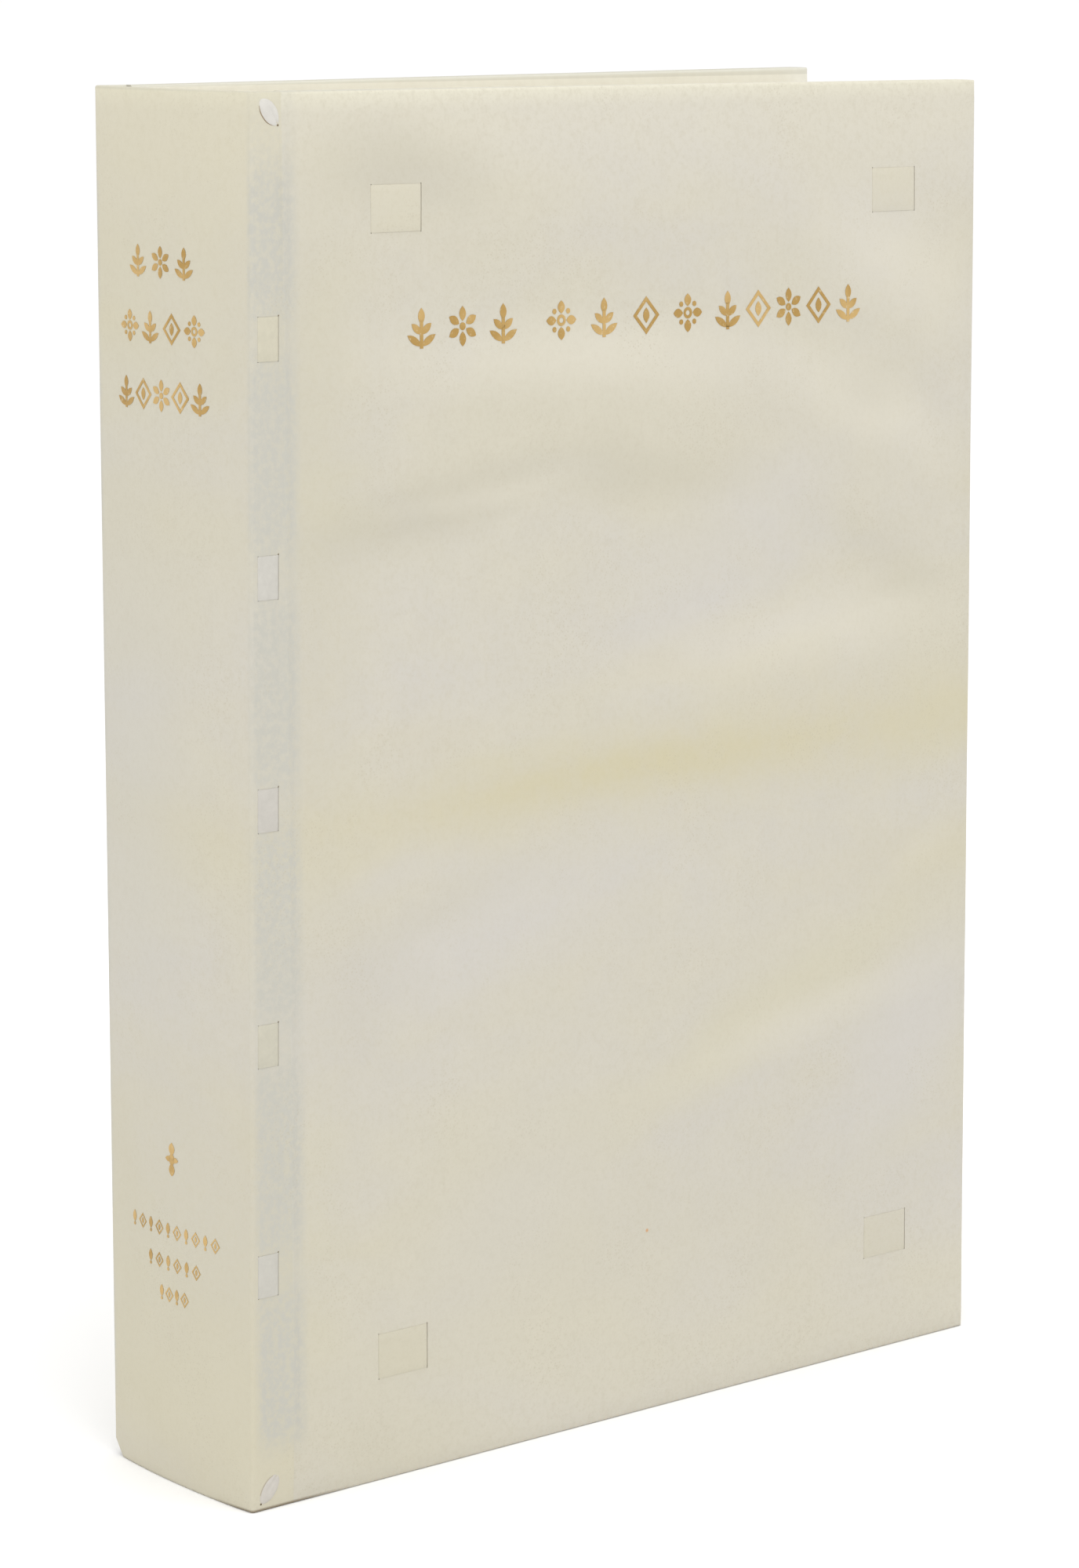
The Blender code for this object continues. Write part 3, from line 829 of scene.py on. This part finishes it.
def make_corner_strip(side_name, side, number, material):
    """A strip that comes out of one slit, lies on the cover and goes back in through the other."""
    low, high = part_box(f"{side_name}_corner_strip_{number}")
    near, far = low.x + 0.09 * MM, high.x - 0.19 * MM
    out = [(near + along * MM, depth * MM) for along, depth in STRIP_OUT]
    middle = [(mix(near, far, share), -0.06 * MM) for share in (0.2, 0.4, 0.6, 0.8)]
    back = [(near + far - x, depth) for x, depth in reversed(out)]
    zs = spread(low.z + 0.1 * MM, high.z - 0.1 * MM, 7)
    rows = []
    for x, depth in out + middle + back:
        row = []
        for z in zs:
            lift = cover_lift(side, x, z) + strip_swell(z, low.z, high.z)
            row.append(place(x, side, depth - lift, z))
        rows.append(row)
    strip = laced_skin(f"{side_name}_corner_strip_skin_{number}", rows, material)
    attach(strip, f"{side_name}_cover")
    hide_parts(f"{side_name}_corner_strip_{number}")


def strip_swell(z, low, high):
    """How much thicker a strip is in the middle of its width."""
    share = (z - low) / (high - low)
    return 0.03 * MM * math.sin(math.pi * clamp(share))


# ---- the spine ----
def spine_stations():
    """Points along the spine's outer line with their outward directions, from the front hinge to the back
    hinge."""
    flat = FACE - CORNER_ROUND
    xs = [HINGE_X - step * MM for step in (0, 0.25, 0.5, 0.8)]
    xs += [SLIT_FAR, SLIT_FAR - SLIT_WIDE]
    xs += [CREASE_X + step * MM for step in (7.6, 6, 4.4)]
    xs += [SLIT_NEAR + SLIT_WIDE, SLIT_NEAR]
    front = [(x, -FACE, 0.0, -1.0) for x in xs]
    for step in range(7):
        cosine, sine = polar(1, math.radians(15 * step))
        front.append((CREASE_X + CORNER_ROUND * (1 - sine), -flat - CORNER_ROUND * cosine, -sine, -cosine))
    panel = []
    for step in range(1, 18):
        y = mix(-flat, flat, step / 18)
        panel.append((spine_face(y), y, -1.0, 2 * BOW * y / flat ** 2))
    back = [(x, -y, nx, -ny) for x, y, nx, ny in reversed(front)]
    return front + panel + back


def spine_face(y):
    """The spine panel's outer line, bowed outwards in the middle."""
    return CREASE_X - BOW * (1 - (y / (FACE - CORNER_ROUND)) ** 2)


def spine_lift(y, z):
    """Slow swells of the spine skin, none of them at its corners."""
    swell = noise.noise(Vector((y * 22, z * 11, 2.5))) * 0.35 * MM
    return swell * smooth((FACE - abs(y)) / (8 * MM))


def spine_lines():
    """(z, depth) from the turned-in edge inside the tail, over both folds, to the one inside the head."""
    tail = [(SPINE_TURN_IN * share, 2 * SPINE_FOLD) for share in (1, 0.5, 0.2)]
    for step in range(7):
        along, up = polar(SPINE_FOLD, math.radians(30 * step))
        tail.append((SPINE_FOLD - up, SPINE_FOLD + along))
    slips = []
    for low, high in SLIPS:
        slips += [low - SLIT_OVERCUT, low + 0.2 * MM, high - 0.2 * MM, high + SLIT_OVERCUT]
    outer = with_lines(spread(3 * MM, HEIGHT - 3 * MM, 64), slips)
    head = [(HEIGHT - z, depth) for z, depth in reversed(tail)]
    return tail + [(z, 0.0) for z in outer] + head


def make_spine_skin(material, inner_material):
    """The spine panel with both joints as one skin, slit for the slips and turned in at head and tail."""
    stations, lines = spine_stations(), spine_lines()
    spans = [(low - SLIT_OVERCUT, high + SLIT_OVERCUT) for low, high in SLIPS]
    columns = [(SLIT_FAR - SLIT_WIDE, SLIT_FAR), (SLIT_NEAR, SLIT_NEAR + SLIT_WIDE)]

    def left_open(i, j):
        x = (stations[j][0] + stations[j + 1][0]) / 2
        z = (lines[i][0] + lines[i + 1][0]) / 2
        on_joint = min(j, len(stations) - 2 - j) < JOINT_STATIONS
        outer = lines[i][1] == 0 and lines[i + 1][1] == 0
        return on_joint and outer and inside_any(x, columns) and inside_any(z, spans)

    rows = []
    for z, depth in lines:
        row = []
        share = clamp(1 - depth / SPINE_FOLD)
        for x, y, nx, ny in stations:
            out = (spine_lift(y, z) + ridge_lift(x, z)) * share - depth
            row.append(settle(x + nx * out, y + ny * out, z))
        rows.append(row)
    geometry = bmesh.new()
    made = add_grid(geometry, rows, left_open)
    inner = {vert for (z, depth), row in zip(lines, made) for vert in row if depth > SPINE_FOLD}
    for face in geometry.faces:
        face.material_index = int(all(vert in inner for vert in face.verts))
    skin = add_mesh("spine_skin", finish_mesh("spine_skin", geometry, (0, 1, 0)), material)
    skin.data.materials.append(inner_material)
    thicken(skin, SKIN)
    crisp(skin)
    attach(skin, "spine")
    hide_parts("spine_cover")


def make_slip(number, material, hole_material):
    """A tawed slip: across the spine inside, then out through one slit and in through the next twice."""
    low, high = SLIPS[number - 1]
    near, far = SLIT_NEAR + 0.07 * MM, SLIT_FAR - 0.13 * MM
    front = [(far - along * MM, depth * MM) for along, depth in SLIP_OUT]
    front.append((mix(far, near, 0.5), -0.09 * MM))
    front += [(near - along * MM, depth * MM) for along, depth in SLIP_BACK]
    front.append((CREASE_X + 1.6 * MM, 1.5 * MM))
    rows = []
    for side, line in ((-1, front), (1, front[::-1])):
        for x, depth in line:
            row = []
            for z in spread(low, high, 6):
                swell = strip_swell(z, low, high) if depth < 0 else 0.0
                row.append(place(x, side, depth - swell, z))
            rows.append(row)
    slip = laced_skin(f"slip_skin_{number}", rows, material)
    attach(slip, "spine")
    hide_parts(f"sewing_slip_{number}")
    for side_name, side in SIDES.items():
        hole_x, hole_z = SLIT_FAR - 0.1 * MM, high + 0.25 * MM
        make_hole(f"slip_{number}_{side_name}", side, hole_x, hole_z, 0.2 * MM, hole_material)


# ---- endbands ----
def tube(name, path, radius, material, sides):
    """A round cord along a path."""
    curve = bpy.data.curves.new(name, "CURVE")
    curve.dimensions = "3D"
    spline = curve.splines.new("POLY")
    spline.points.add(len(path) - 1)
    for item, spot in zip(spline.points, path):
        item.co = (*spot, 1.0)
    curve.bevel_depth = radius
    curve.bevel_resolution = sides // 4 - 1
    curve.use_fill_caps = True
    holder = bpy.data.objects.new(name, curve)
    bpy.context.scene.collection.objects.link(holder)
    graph = bpy.context.evaluated_depsgraph_get()
    mesh = bpy.data.meshes.new_from_object(holder.evaluated_get(graph))
    bpy.data.objects.remove(holder)
    mesh.materials.clear()
    return add_mesh(name, mesh, material)


def make_endband(end_name, rising, core_material, lace_materials, thread_materials, hole_material):
    """A core across the spine, wound with two threads, and the laced ends of its two sides."""
    low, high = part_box(f"{end_name}_endband")
    x, z = (low.x + high.x) / 2, (low.z + high.z) / 2
    reach, wound_reach = FACE - 1.6 * MM, 30.5 * MM
    path = [(x, y, z) for y in spread(-reach, reach, 9)]
    core = tube(f"{end_name}_endband_core", path, 1.25 * MM, core_material, 16)
    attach(core, "spine")
    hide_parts(f"{end_name}_endband")
    for strand, material in enumerate(thread_materials):
        winding = []
        for share in spread(0.0, 1.0, THREAD_TURNS * TURN_STEPS):
            along, up = polar(1.4 * MM, 2 * math.pi * THREAD_TURNS * share + math.pi * strand)
            winding.append((x + along, mix(-wound_reach, wound_reach, share), z + up))
        wound = tube(f"{end_name}_endband_thread_{strand + 1}", winding, 0.21 * MM, material, 4)
        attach(wound, "spine")
    for side_name, side in SIDES.items():
        lace_x, lace_z = (x + 0.1 * MM, z + 0.9 * MM) if rising else (x, z - 0.5 * MM)
        name = f"{end_name}_{side_name}"
        make_lace(name, side, lace_x, lace_z, rising, *lace_materials, hole_material)


def make_lace(name, side, x, z, rising, material, painted_shade_material, hole_material):
    """The leaf-shaped visible end of a core: swollen, folded once, sunk below the skin at both tips with an
    awl hole at the lower one, and with painted shade along its lower edge at the head and its upper edge at
    the tail."""
    steps, parts = 17, 15
    half_length, half_width = (5.1 * MM, 2.7 * MM) if rising else (4.85 * MM, 2.8 * MM)
    along, up = polar(1, math.radians(51 if rising else -50))
    rows = []
    for share in spread(-1, 1, steps):
        width = half_width * (1 - abs(share) ** 2.3) ** 0.8 + 0.1 * MM
        row = []
        for across in spread(-1, 1, parts):
            fold = 0.34 * MM * math.exp(-((across - 0.2) / 0.13) ** 2) * smooth(1.2 * (share + 0.5))
            swell = 0.62 * MM * (1 - share ** 4) * (1 - across ** 2) ** 0.5
            u, v = share * half_length, across * width
            depth = 0.12 * MM + fold - swell
            row.append(place(x + u * along - v * up, side, depth, z + u * up + v * along))
        rows.append(row)
    geometry = bmesh.new()
    add_grid(geometry, rows)
    geometry.faces.ensure_lookup_table()
    # one column of faces gets the darker material: painted shade along the lace's lower edge at the head,
    # its upper edge at the tail
    shaded = parts - 2 if rising else 0
    first, last = (3, steps - 3) if rising else (2, steps - 2)
    for step in range(first, last):
        geometry.faces[step * (parts - 1) + shaded].material_index = 1
    piece = add_mesh(f"{name}_lace", finish_mesh(name, geometry, (0, side, 0)), material)
    piece.data.materials.append(painted_shade_material)
    thicken(piece, 0.3 * MM)
    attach(piece, "spine")
    lower = -half_length if rising else half_length
    make_hole(name, side, x + lower * along, z + lower * up, 0.3 * MM, hole_material)


def make_hole(name, side, x, z, radius, material):
    """The awl hole at the tip of a lace or the end of a slit, a small dished disc coloured dark as painted
    shadow inside the hole.
    """
    geometry = bmesh.new()
    centre = geometry.verts.new(place(x, side, -0.02 * MM, z))
    rim = []
    for across, up in circle(radius, ROUND_SIDES):
        rim.append(geometry.verts.new(place(x + across, side, -0.06 * MM, z + up)))
    for here, after in zip(rim, rim[1:] + rim[:1]):
        geometry.faces.new((centre, here, after))
    hole = add_mesh(f"{name}_hole", finish_mesh(name, geometry, (0, side, 0)), material)
    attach(hole, "spine")


def make_endpaper(side_name, side, material):
    """The pastedown with its fold across the joint to the first gathering."""
    low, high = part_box(f"{side_name}_pastedown")
    start_x = HINGE_X + 1.2 * MM
    stations = [(x, None) for x in spread(high.x, start_x, 44)]
    for step in range(1, 6):
        along, out = polar(0.55 * MM, math.radians(36 * step))
        stations.append((start_x - out, 4.6 * MM - along))
    stations += [(start_x + 2 * MM, 5.15 * MM), (start_x + 7 * MM, 5.12 * MM)]
    rows = []
    for x, depth in stations:
        row = []
        for z in spread(low.z, high.z, 40):
            if depth is None:
                edge = min(FORE_X - x, z, HEIGHT - z)
                over = smooth((TURN_IN + 1.5 * MM - edge) / (3 * MM))
                row.append(place(x, side, mix(3.72 * MM, 4.12 * MM, over), z))
            else:
                leaf_z = mix(LEAF_LOW.z, LEAF_HIGH.z, (z - low.z) / (high.z - low.z))
                row.append(place(x, side, depth, leaf_z))
        rows.append(row)
    sheet = surface(f"{side_name}_endpaper", rows, material)
    thicken(sheet, 0.14 * MM, 0.0)
    apply_modifiers(sheet)
    start, end = ((start_x, side * (FACE - depth), 0.2) for depth in (4.5 * MM, 4.85 * MM))
    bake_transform(sheet)
    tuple(start)
    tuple(end)
    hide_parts(f"{side_name}_pastedown")


def add_leaf(geometry, xs, side, depth, low_z, high_z, shuffle):
    """One leaf as a thin closed sheet with slightly uneven edges."""
    ragged = [shuffle.uniform(-0.25, 0.25) * MM for _ in range(9)]
    short = shuffle.uniform(-0.35, 0.15) * MM
    faces = []
    for face_depth in (depth, depth + LEAF_THICK):
        rows = []
        for uneven, z in zip(ragged, spread(low_z, high_z, len(ragged))):
            reach = xs[:-1] + [xs[-1] + short + uneven]
            rows.append([place(x, side, face_depth, z) for x in reach])
        faces.append(add_grid(geometry, rows))
    close_sheets(geometry, *faces)


def make_gathering(side, node, material, replaced):
    """The leaves of one gathering, whole from the spine fold to the fore-edge."""
    low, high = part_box(node)
    shuffle = random.Random(node)
    axis_x, base_x = low.x - 0.15 * MM, CREASE_X + 2.9 * MM
    outer_depth = FACE - abs(low.y if side < 0 else high.y)
    xs = [base_x, base_x + 1.5 * MM]
    xs += spread(axis_x, axis_x + LEAF_BEND, 8) + spread(axis_x + 40 * MM, high.x, 5)
    geometry = bmesh.new()
    step = (high.y - low.y) / LEAVES_PER_GATHERING
    tall = shuffle.uniform(-0.3, 0.3) * MM
    for leaf in range(LEAVES_PER_GATHERING):
        jitter = shuffle.uniform(-0.25, 0.25) * MM
        leaf_low = low.z + 0.2 * MM - 0.5 * min(jitter, 0)
        leaf_high = high.z - 0.35 * MM + min(tall, 0) + 0.4 * jitter
        add_leaf(geometry, xs, side, outer_depth + step * leaf, leaf_low, leaf_high, shuffle)
    name = f"{node}_leaves"
    leaves = add_mesh(name, finish_mesh(name, geometry), material, False)
    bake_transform(leaves)
    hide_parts(node, *replaced)


def make_guards(side_name, side, material):
    """The narrow paper stubs that fill the joint between the skin and the first gathering."""
    geometry = bmesh.new()
    shuffle = random.Random(side_name)
    xs = [CREASE_X + 2.2 * MM, HINGE_X - 0.6 * MM]
    for depth in spread(2.1 * MM, 4.7 * MM, 13):
        add_leaf(geometry, xs, side, depth, LEAF_LOW.z, LEAF_HIGH.z, shuffle)
    name = f"{side_name}_endpaper_guards"
    guards = add_mesh(name, finish_mesh(name, geometry), material, False)
    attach(guards, "spine")


def make_flyleaf(side_name, side, material):
    """The free half of the endpaper's sheet."""
    low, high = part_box(f"{side_name}_flyleaf")
    start_x = HINGE_X + 0.5 * MM
    xs = spread(start_x, HINGE_X + LEAF_BEND, 8) + spread(HINGE_X + 40 * MM, high.x, 7)
    geometry = bmesh.new()
    add_leaf(geometry, xs, side, 4.82 * MM, low.z, high.z, random.Random(side_name))
    name = f"{side_name}_free_flyleaf"
    leaf = add_mesh(name, finish_mesh(name, geometry), material, False)
    start, end = ((x, side * (FACE - 4.8 * MM), 0.2) for x in (start_x, HINGE_X + LEAF_BEND))
    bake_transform(leaf)
    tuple(start)
    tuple(end)
    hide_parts(f"{side_name}_flyleaf")


# ---- gilt ornament ----
# An ornament is a list of outlines, 1 tall, that stands on 0 with its middle at 0.
def leaf_shape(cx, cz, length, width, angle):
    """A pointed leaf from its foot at cx, cz, as an outline."""
    upper = [(share * length, 0.5 * width * math.sin(math.pi * share) ** 0.8) for share in spread(0, 1, 7)]
    points = upper + [(u, -v) for u, v in upper[-2:0:-1]]
    cosine, sine = polar(1, math.radians(angle))
    return [(cx + u * cosine - v * sine, cz + u * sine + v * cosine) for u, v in points]


def disc(cx, cz, radius):
    return [(cx + x, cz + z) for x, z in circle(radius, ROUND_SIDES)]


def bar(low_x, low_z, high_x, high_z):
    return [(low_x, low_z), (high_x, low_z), (high_x, high_z), (low_x, high_z)]


def ring(cx, cz, outer, inner):
    """A ring as short quads."""
    inside, outside = circle(inner, 24), circle(outer, 24)
    quads = zip(inside, outside, outside[1:] + outside[:1], inside[1:] + inside[:1])
    return [[(cx + x, cz + z) for x, z in quad] for quad in quads]


def petals(count, first, foot, length, width):
    """Leaves that point outwards all round the middle, their feet a little way off it."""
    shapes = []
    for turn in range(count):
        angle = first + 360 * turn / count
        x, z = polar(foot, math.radians(angle))
        shapes.append(leaf_shape(x, 0.5 + z, length, width, angle))
    return shapes


def sprig():
    """A stalk with a leaf at its tip and two pairs at its sides."""
    shapes = [bar(-0.055, 0.0, 0.055, 0.72), leaf_shape(0, 0.60, 0.42, 0.22, 90)]
    for height, slope, length in ((0.06, 32, 0.54), (0.36, 40, 0.42)):
        shapes += [leaf_shape(0, height, length, 0.19, angle) for angle in (slope, 180 - slope)]
    return shapes


def rosette():
    return [disc(0, 0.5, 0.10)] + petals(6, 30, 0.13, 0.38, 0.22)


def quatrefoil():
    shapes = ring(0, 0.5, 0.15, 0.07) + petals(4, 0, 0.17, 0.34, 0.24)
    for angle in (45, 135, 225, 315):
        x, z = polar(0.33, math.radians(angle))
        shapes.append(disc(x, 0.5 + z, 0.07))
    return shapes


def lozenge():
    """A wide frame with a leaf inside it."""
    outer, inner = [[(x * size, 0.5 + z * size) for x, z in ((0.92, 0), (0, 1), (-0.92, 0), (0, -1))]
                    for size in (0.50, 0.36)]
    quads = zip(inner, outer, outer[1:] + outer[:1], inner[1:] + inner[:1])
    return [list(quad) for quad in quads] + [leaf_shape(0, 0.30, 0.40, 0.22, 90)]


def pendant():
    """A narrow upright ornament: a rod between two leaves with a disc at its middle."""
    shapes = [bar(-0.07, 0.12, 0.07, 0.88), disc(0, 0.5, 0.16)]
    shapes += [leaf_shape(0, 0.62, 0.40, 0.30, 90), leaf_shape(0, 0.38, 0.40, 0.30, -90)]
    return shapes + [leaf_shape(0, 0.5, 0.34, 0.17, angle) for angle in (0, 180)]


def bud():
    """A small upright leaf over a disc."""
    return [leaf_shape(0, 0.22, 0.78, 0.42, 90), disc(0, 0.11, 0.11)]


GILT_GROUPS = ((sprig, rosette, sprig), (quatrefoil, sprig, lozenge, quatrefoil),
               (sprig, lozenge, rosette, lozenge, sprig))


def blocked(name, ornaments, to_point, body, material):
    """Gilt ornaments as one thin piece: each is (shapes, centre, foot, height)."""
    geometry = bmesh.new()
    for shapes, centre, foot, height in ornaments:
        for shape in shapes:
            spots = [to_point(centre + u * height, foot + v * height) for u, v in shape]
            geometry.faces.new([geometry.verts.new(spot) for spot in spots])
    bmesh.ops.triangulate(geometry, faces=geometry.faces)
    piece = add_mesh(name, finish_mesh(name, geometry), material, False)
    thicken(piece, 0.05 * MM, 0.0)
    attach(piece, body)


def row_of(kinds, low, high, foot, height):
    """Ornaments spaced evenly from low to high, their outer ones flush with the ends."""
    half = height * 0.46
    places = spread(low + half, high - half, len(kinds))
    return [(kind(), at, foot, height) for kind, at in zip(kinds, places)]


def make_front_gilt(material):
    """Three groups in one row near the head of the front cover."""
    ornaments = []
    for kinds, (low, high) in zip(GILT_GROUPS, ((56.5, 98.5), (110.6, 172.5), (178.5, 241))):
        ornaments += row_of(kinds, CREASE_X + low * MM, CREASE_X + high * MM, 338.2 * MM, 11.6 * MM)

    def to_point(x, z):
        return place(x, -1, -cover_lift(-1, x, z) - GILT_LIFT, z)

    blocked("front_gilt_row", ornaments, to_point, "front_cover", material)


def make_spine_gilt(material):
    """Three rows and, below, a pendant over three small rows.  Across the spine, 0 is its middle and
    negative is towards the back cover."""
    centre, low_centre = -3 * MM, -1 * MM
    tall, small = 9.2 * MM, 4.7 * MM
    ornaments = []
    for kinds, (half_width, foot) in zip(GILT_GROUPS, ((15.4, 358.9), (20, 340), (22.4, 320.6))):
        half = half_width * MM
        ornaments += row_of(kinds, centre - half, centre + half, foot * MM, tall)
    ornaments.append((pendant(), low_centre, 94.5 * MM, 9.8 * MM))
    for count, half_width, middle in ((10, 23.4, 77.4), (6, 14.2, 67.4), (4, 8.2, 57.8)):
        kinds = (bud, lozenge) * (count // 2)
        half = half_width * MM
        ornaments += row_of(kinds, low_centre - half, low_centre + half, middle * MM - small / 2, small)

    def to_point(across, z):
        return settle(spine_face(-across) - spine_lift(-across, z) - GILT_LIFT, -across, z)

    blocked("spine_gilt", ornaments, to_point, "spine", material)


# ---- the setting ----
def make_setting():
    """A white floor and surround, with three soft lamps: in front, at the side and above."""
    world = bpy.data.worlds.new("soft_white")
    world.use_nodes = True
    background = world.node_tree.nodes["Background"]
    background.inputs["Color"].default_value = (1.0, 1.0, 1.0, 1.0)
    background.inputs["Strength"].default_value = 1.04
    bpy.context.scene.world = world
    bpy.context.scene.view_settings.view_transform = "Standard"
    geometry = bmesh.new()
    bmesh.ops.create_grid(geometry, x_segments=1, y_segments=1, size=60.0)
    floor_mesh = bpy.data.meshes.new("floor")
    geometry.to_mesh(floor_mesh)
    geometry.free()
    graph = Graph("floor_paper")
    colour = graph.blend(graph.noise(3.0, 2.0), srgb(250, 250, 250), srgb(254, 254, 254))
    floor = add_mesh("floor", floor_mesh, graph.finish(colour, 0.9), False)
    floor.location.z = -TAIL_DROP - 0.02 * MM
    key = add_light("key", (-0.9, -1.3, 1.5), 1.3, 6.0)
    side = add_light("side", (-2.0, 0.5, 0.9), 1.4, 2.5)
    top = add_light("top", (0.0, -0.6, 1.9), 1.2, 7.0)


def add_light(name, spot, size, power):
    data = bpy.data.lights.new(name, "AREA")
    data.energy = power
    data.size = size
    lamp = bpy.data.objects.new(name, data)
    lamp.location = spot
    aim = Vector((0, 0, 0.2)) - Vector(spot)
    lamp.rotation_euler = aim.to_track_quat("-Z", "Y").to_euler()
    bpy.context.scene.collection.objects.link(lamp)
    return lamp


def dress_linings():
    """The spine linings are plain flat pieces already; they only need their cloth."""
    cloth = linen("lining_cloth", 206, 196, 170)
    for number in range(1, 7):
        for slot in frame["nodes"][f"spine_lining_{number}"].material_slots:
            slot.link = "OBJECT"
            slot.material = cloth


def main():
    add_camera()
    inner = flesh_side("flesh_side")
    make_spine_skin(vellum("spine_vellum", streaks=True, cream=0.4), inner)
    make_cover_skin("front", -1, vellum("front_vellum", streaks=True), inner)
    make_cover_skin("back", 1, vellum("back_vellum"), inner)
    strip_vellum = vellum("strip_vellum", joint=False, cream=0.25)
    board = board_stuff("millboard")
    for side_name, side in SIDES.items():
        make_board(side_name, side, board)
        make_hinge_edge(side_name, side, inner)
        for number in STRIP_NUMBERS:
            make_corner_strip(side_name, side, number, strip_vellum)
    hole = hole_shadow("awl_hole")
    for number, shade in zip(SLIP_NUMBERS, SLIP_SHADES):
        make_slip(number, tawed(f"tawed_{number}", *shade), hole)
    core = tawed("tawed_core", 206, 202, 192)
    threads = (thread("thread_cream", 226, 214, 184), thread("thread_straw", 196, 168, 112))
    # the second material of each pair is a darker copy: painted shade for the lace's edge
    head_laces = (tawed("head_lace", 203, 200, 193), tawed("head_lace_shade", 150, 134, 112))
    tail_laces = (tawed("tail_lace", 195, 190, 182), tawed("tail_lace_shade", 172, 164, 148))
    make_endband("head", False, core, head_laces, threads, hole)
    make_endband("tail", True, core, tail_laces, threads, hole)
    leaf_paper = paper("leaf_paper", 238, 231, 214)
    end_paper = paper("end_paper", 236, 229, 212)
    for side_name, side in SIDES.items():
        make_endpaper(side_name, side, end_paper)
        make_flyleaf(side_name, side, end_paper)
        make_guards(side_name, side, end_paper)
        for order in range(GATHERINGS_PER_HALF):
            number = order + 1 if side < 0 else 2 * GATHERINGS_PER_HALF - order
            replaced = ["sewn_folds"] if number == 1 else []
            make_gathering(side, f"gathering_{number:02d}", leaf_paper, replaced)
    gold = gilt("gold_leaf")
    make_front_gilt(gold)
    make_spine_gilt(gold)
    dress_linings()
    make_setting()


main()
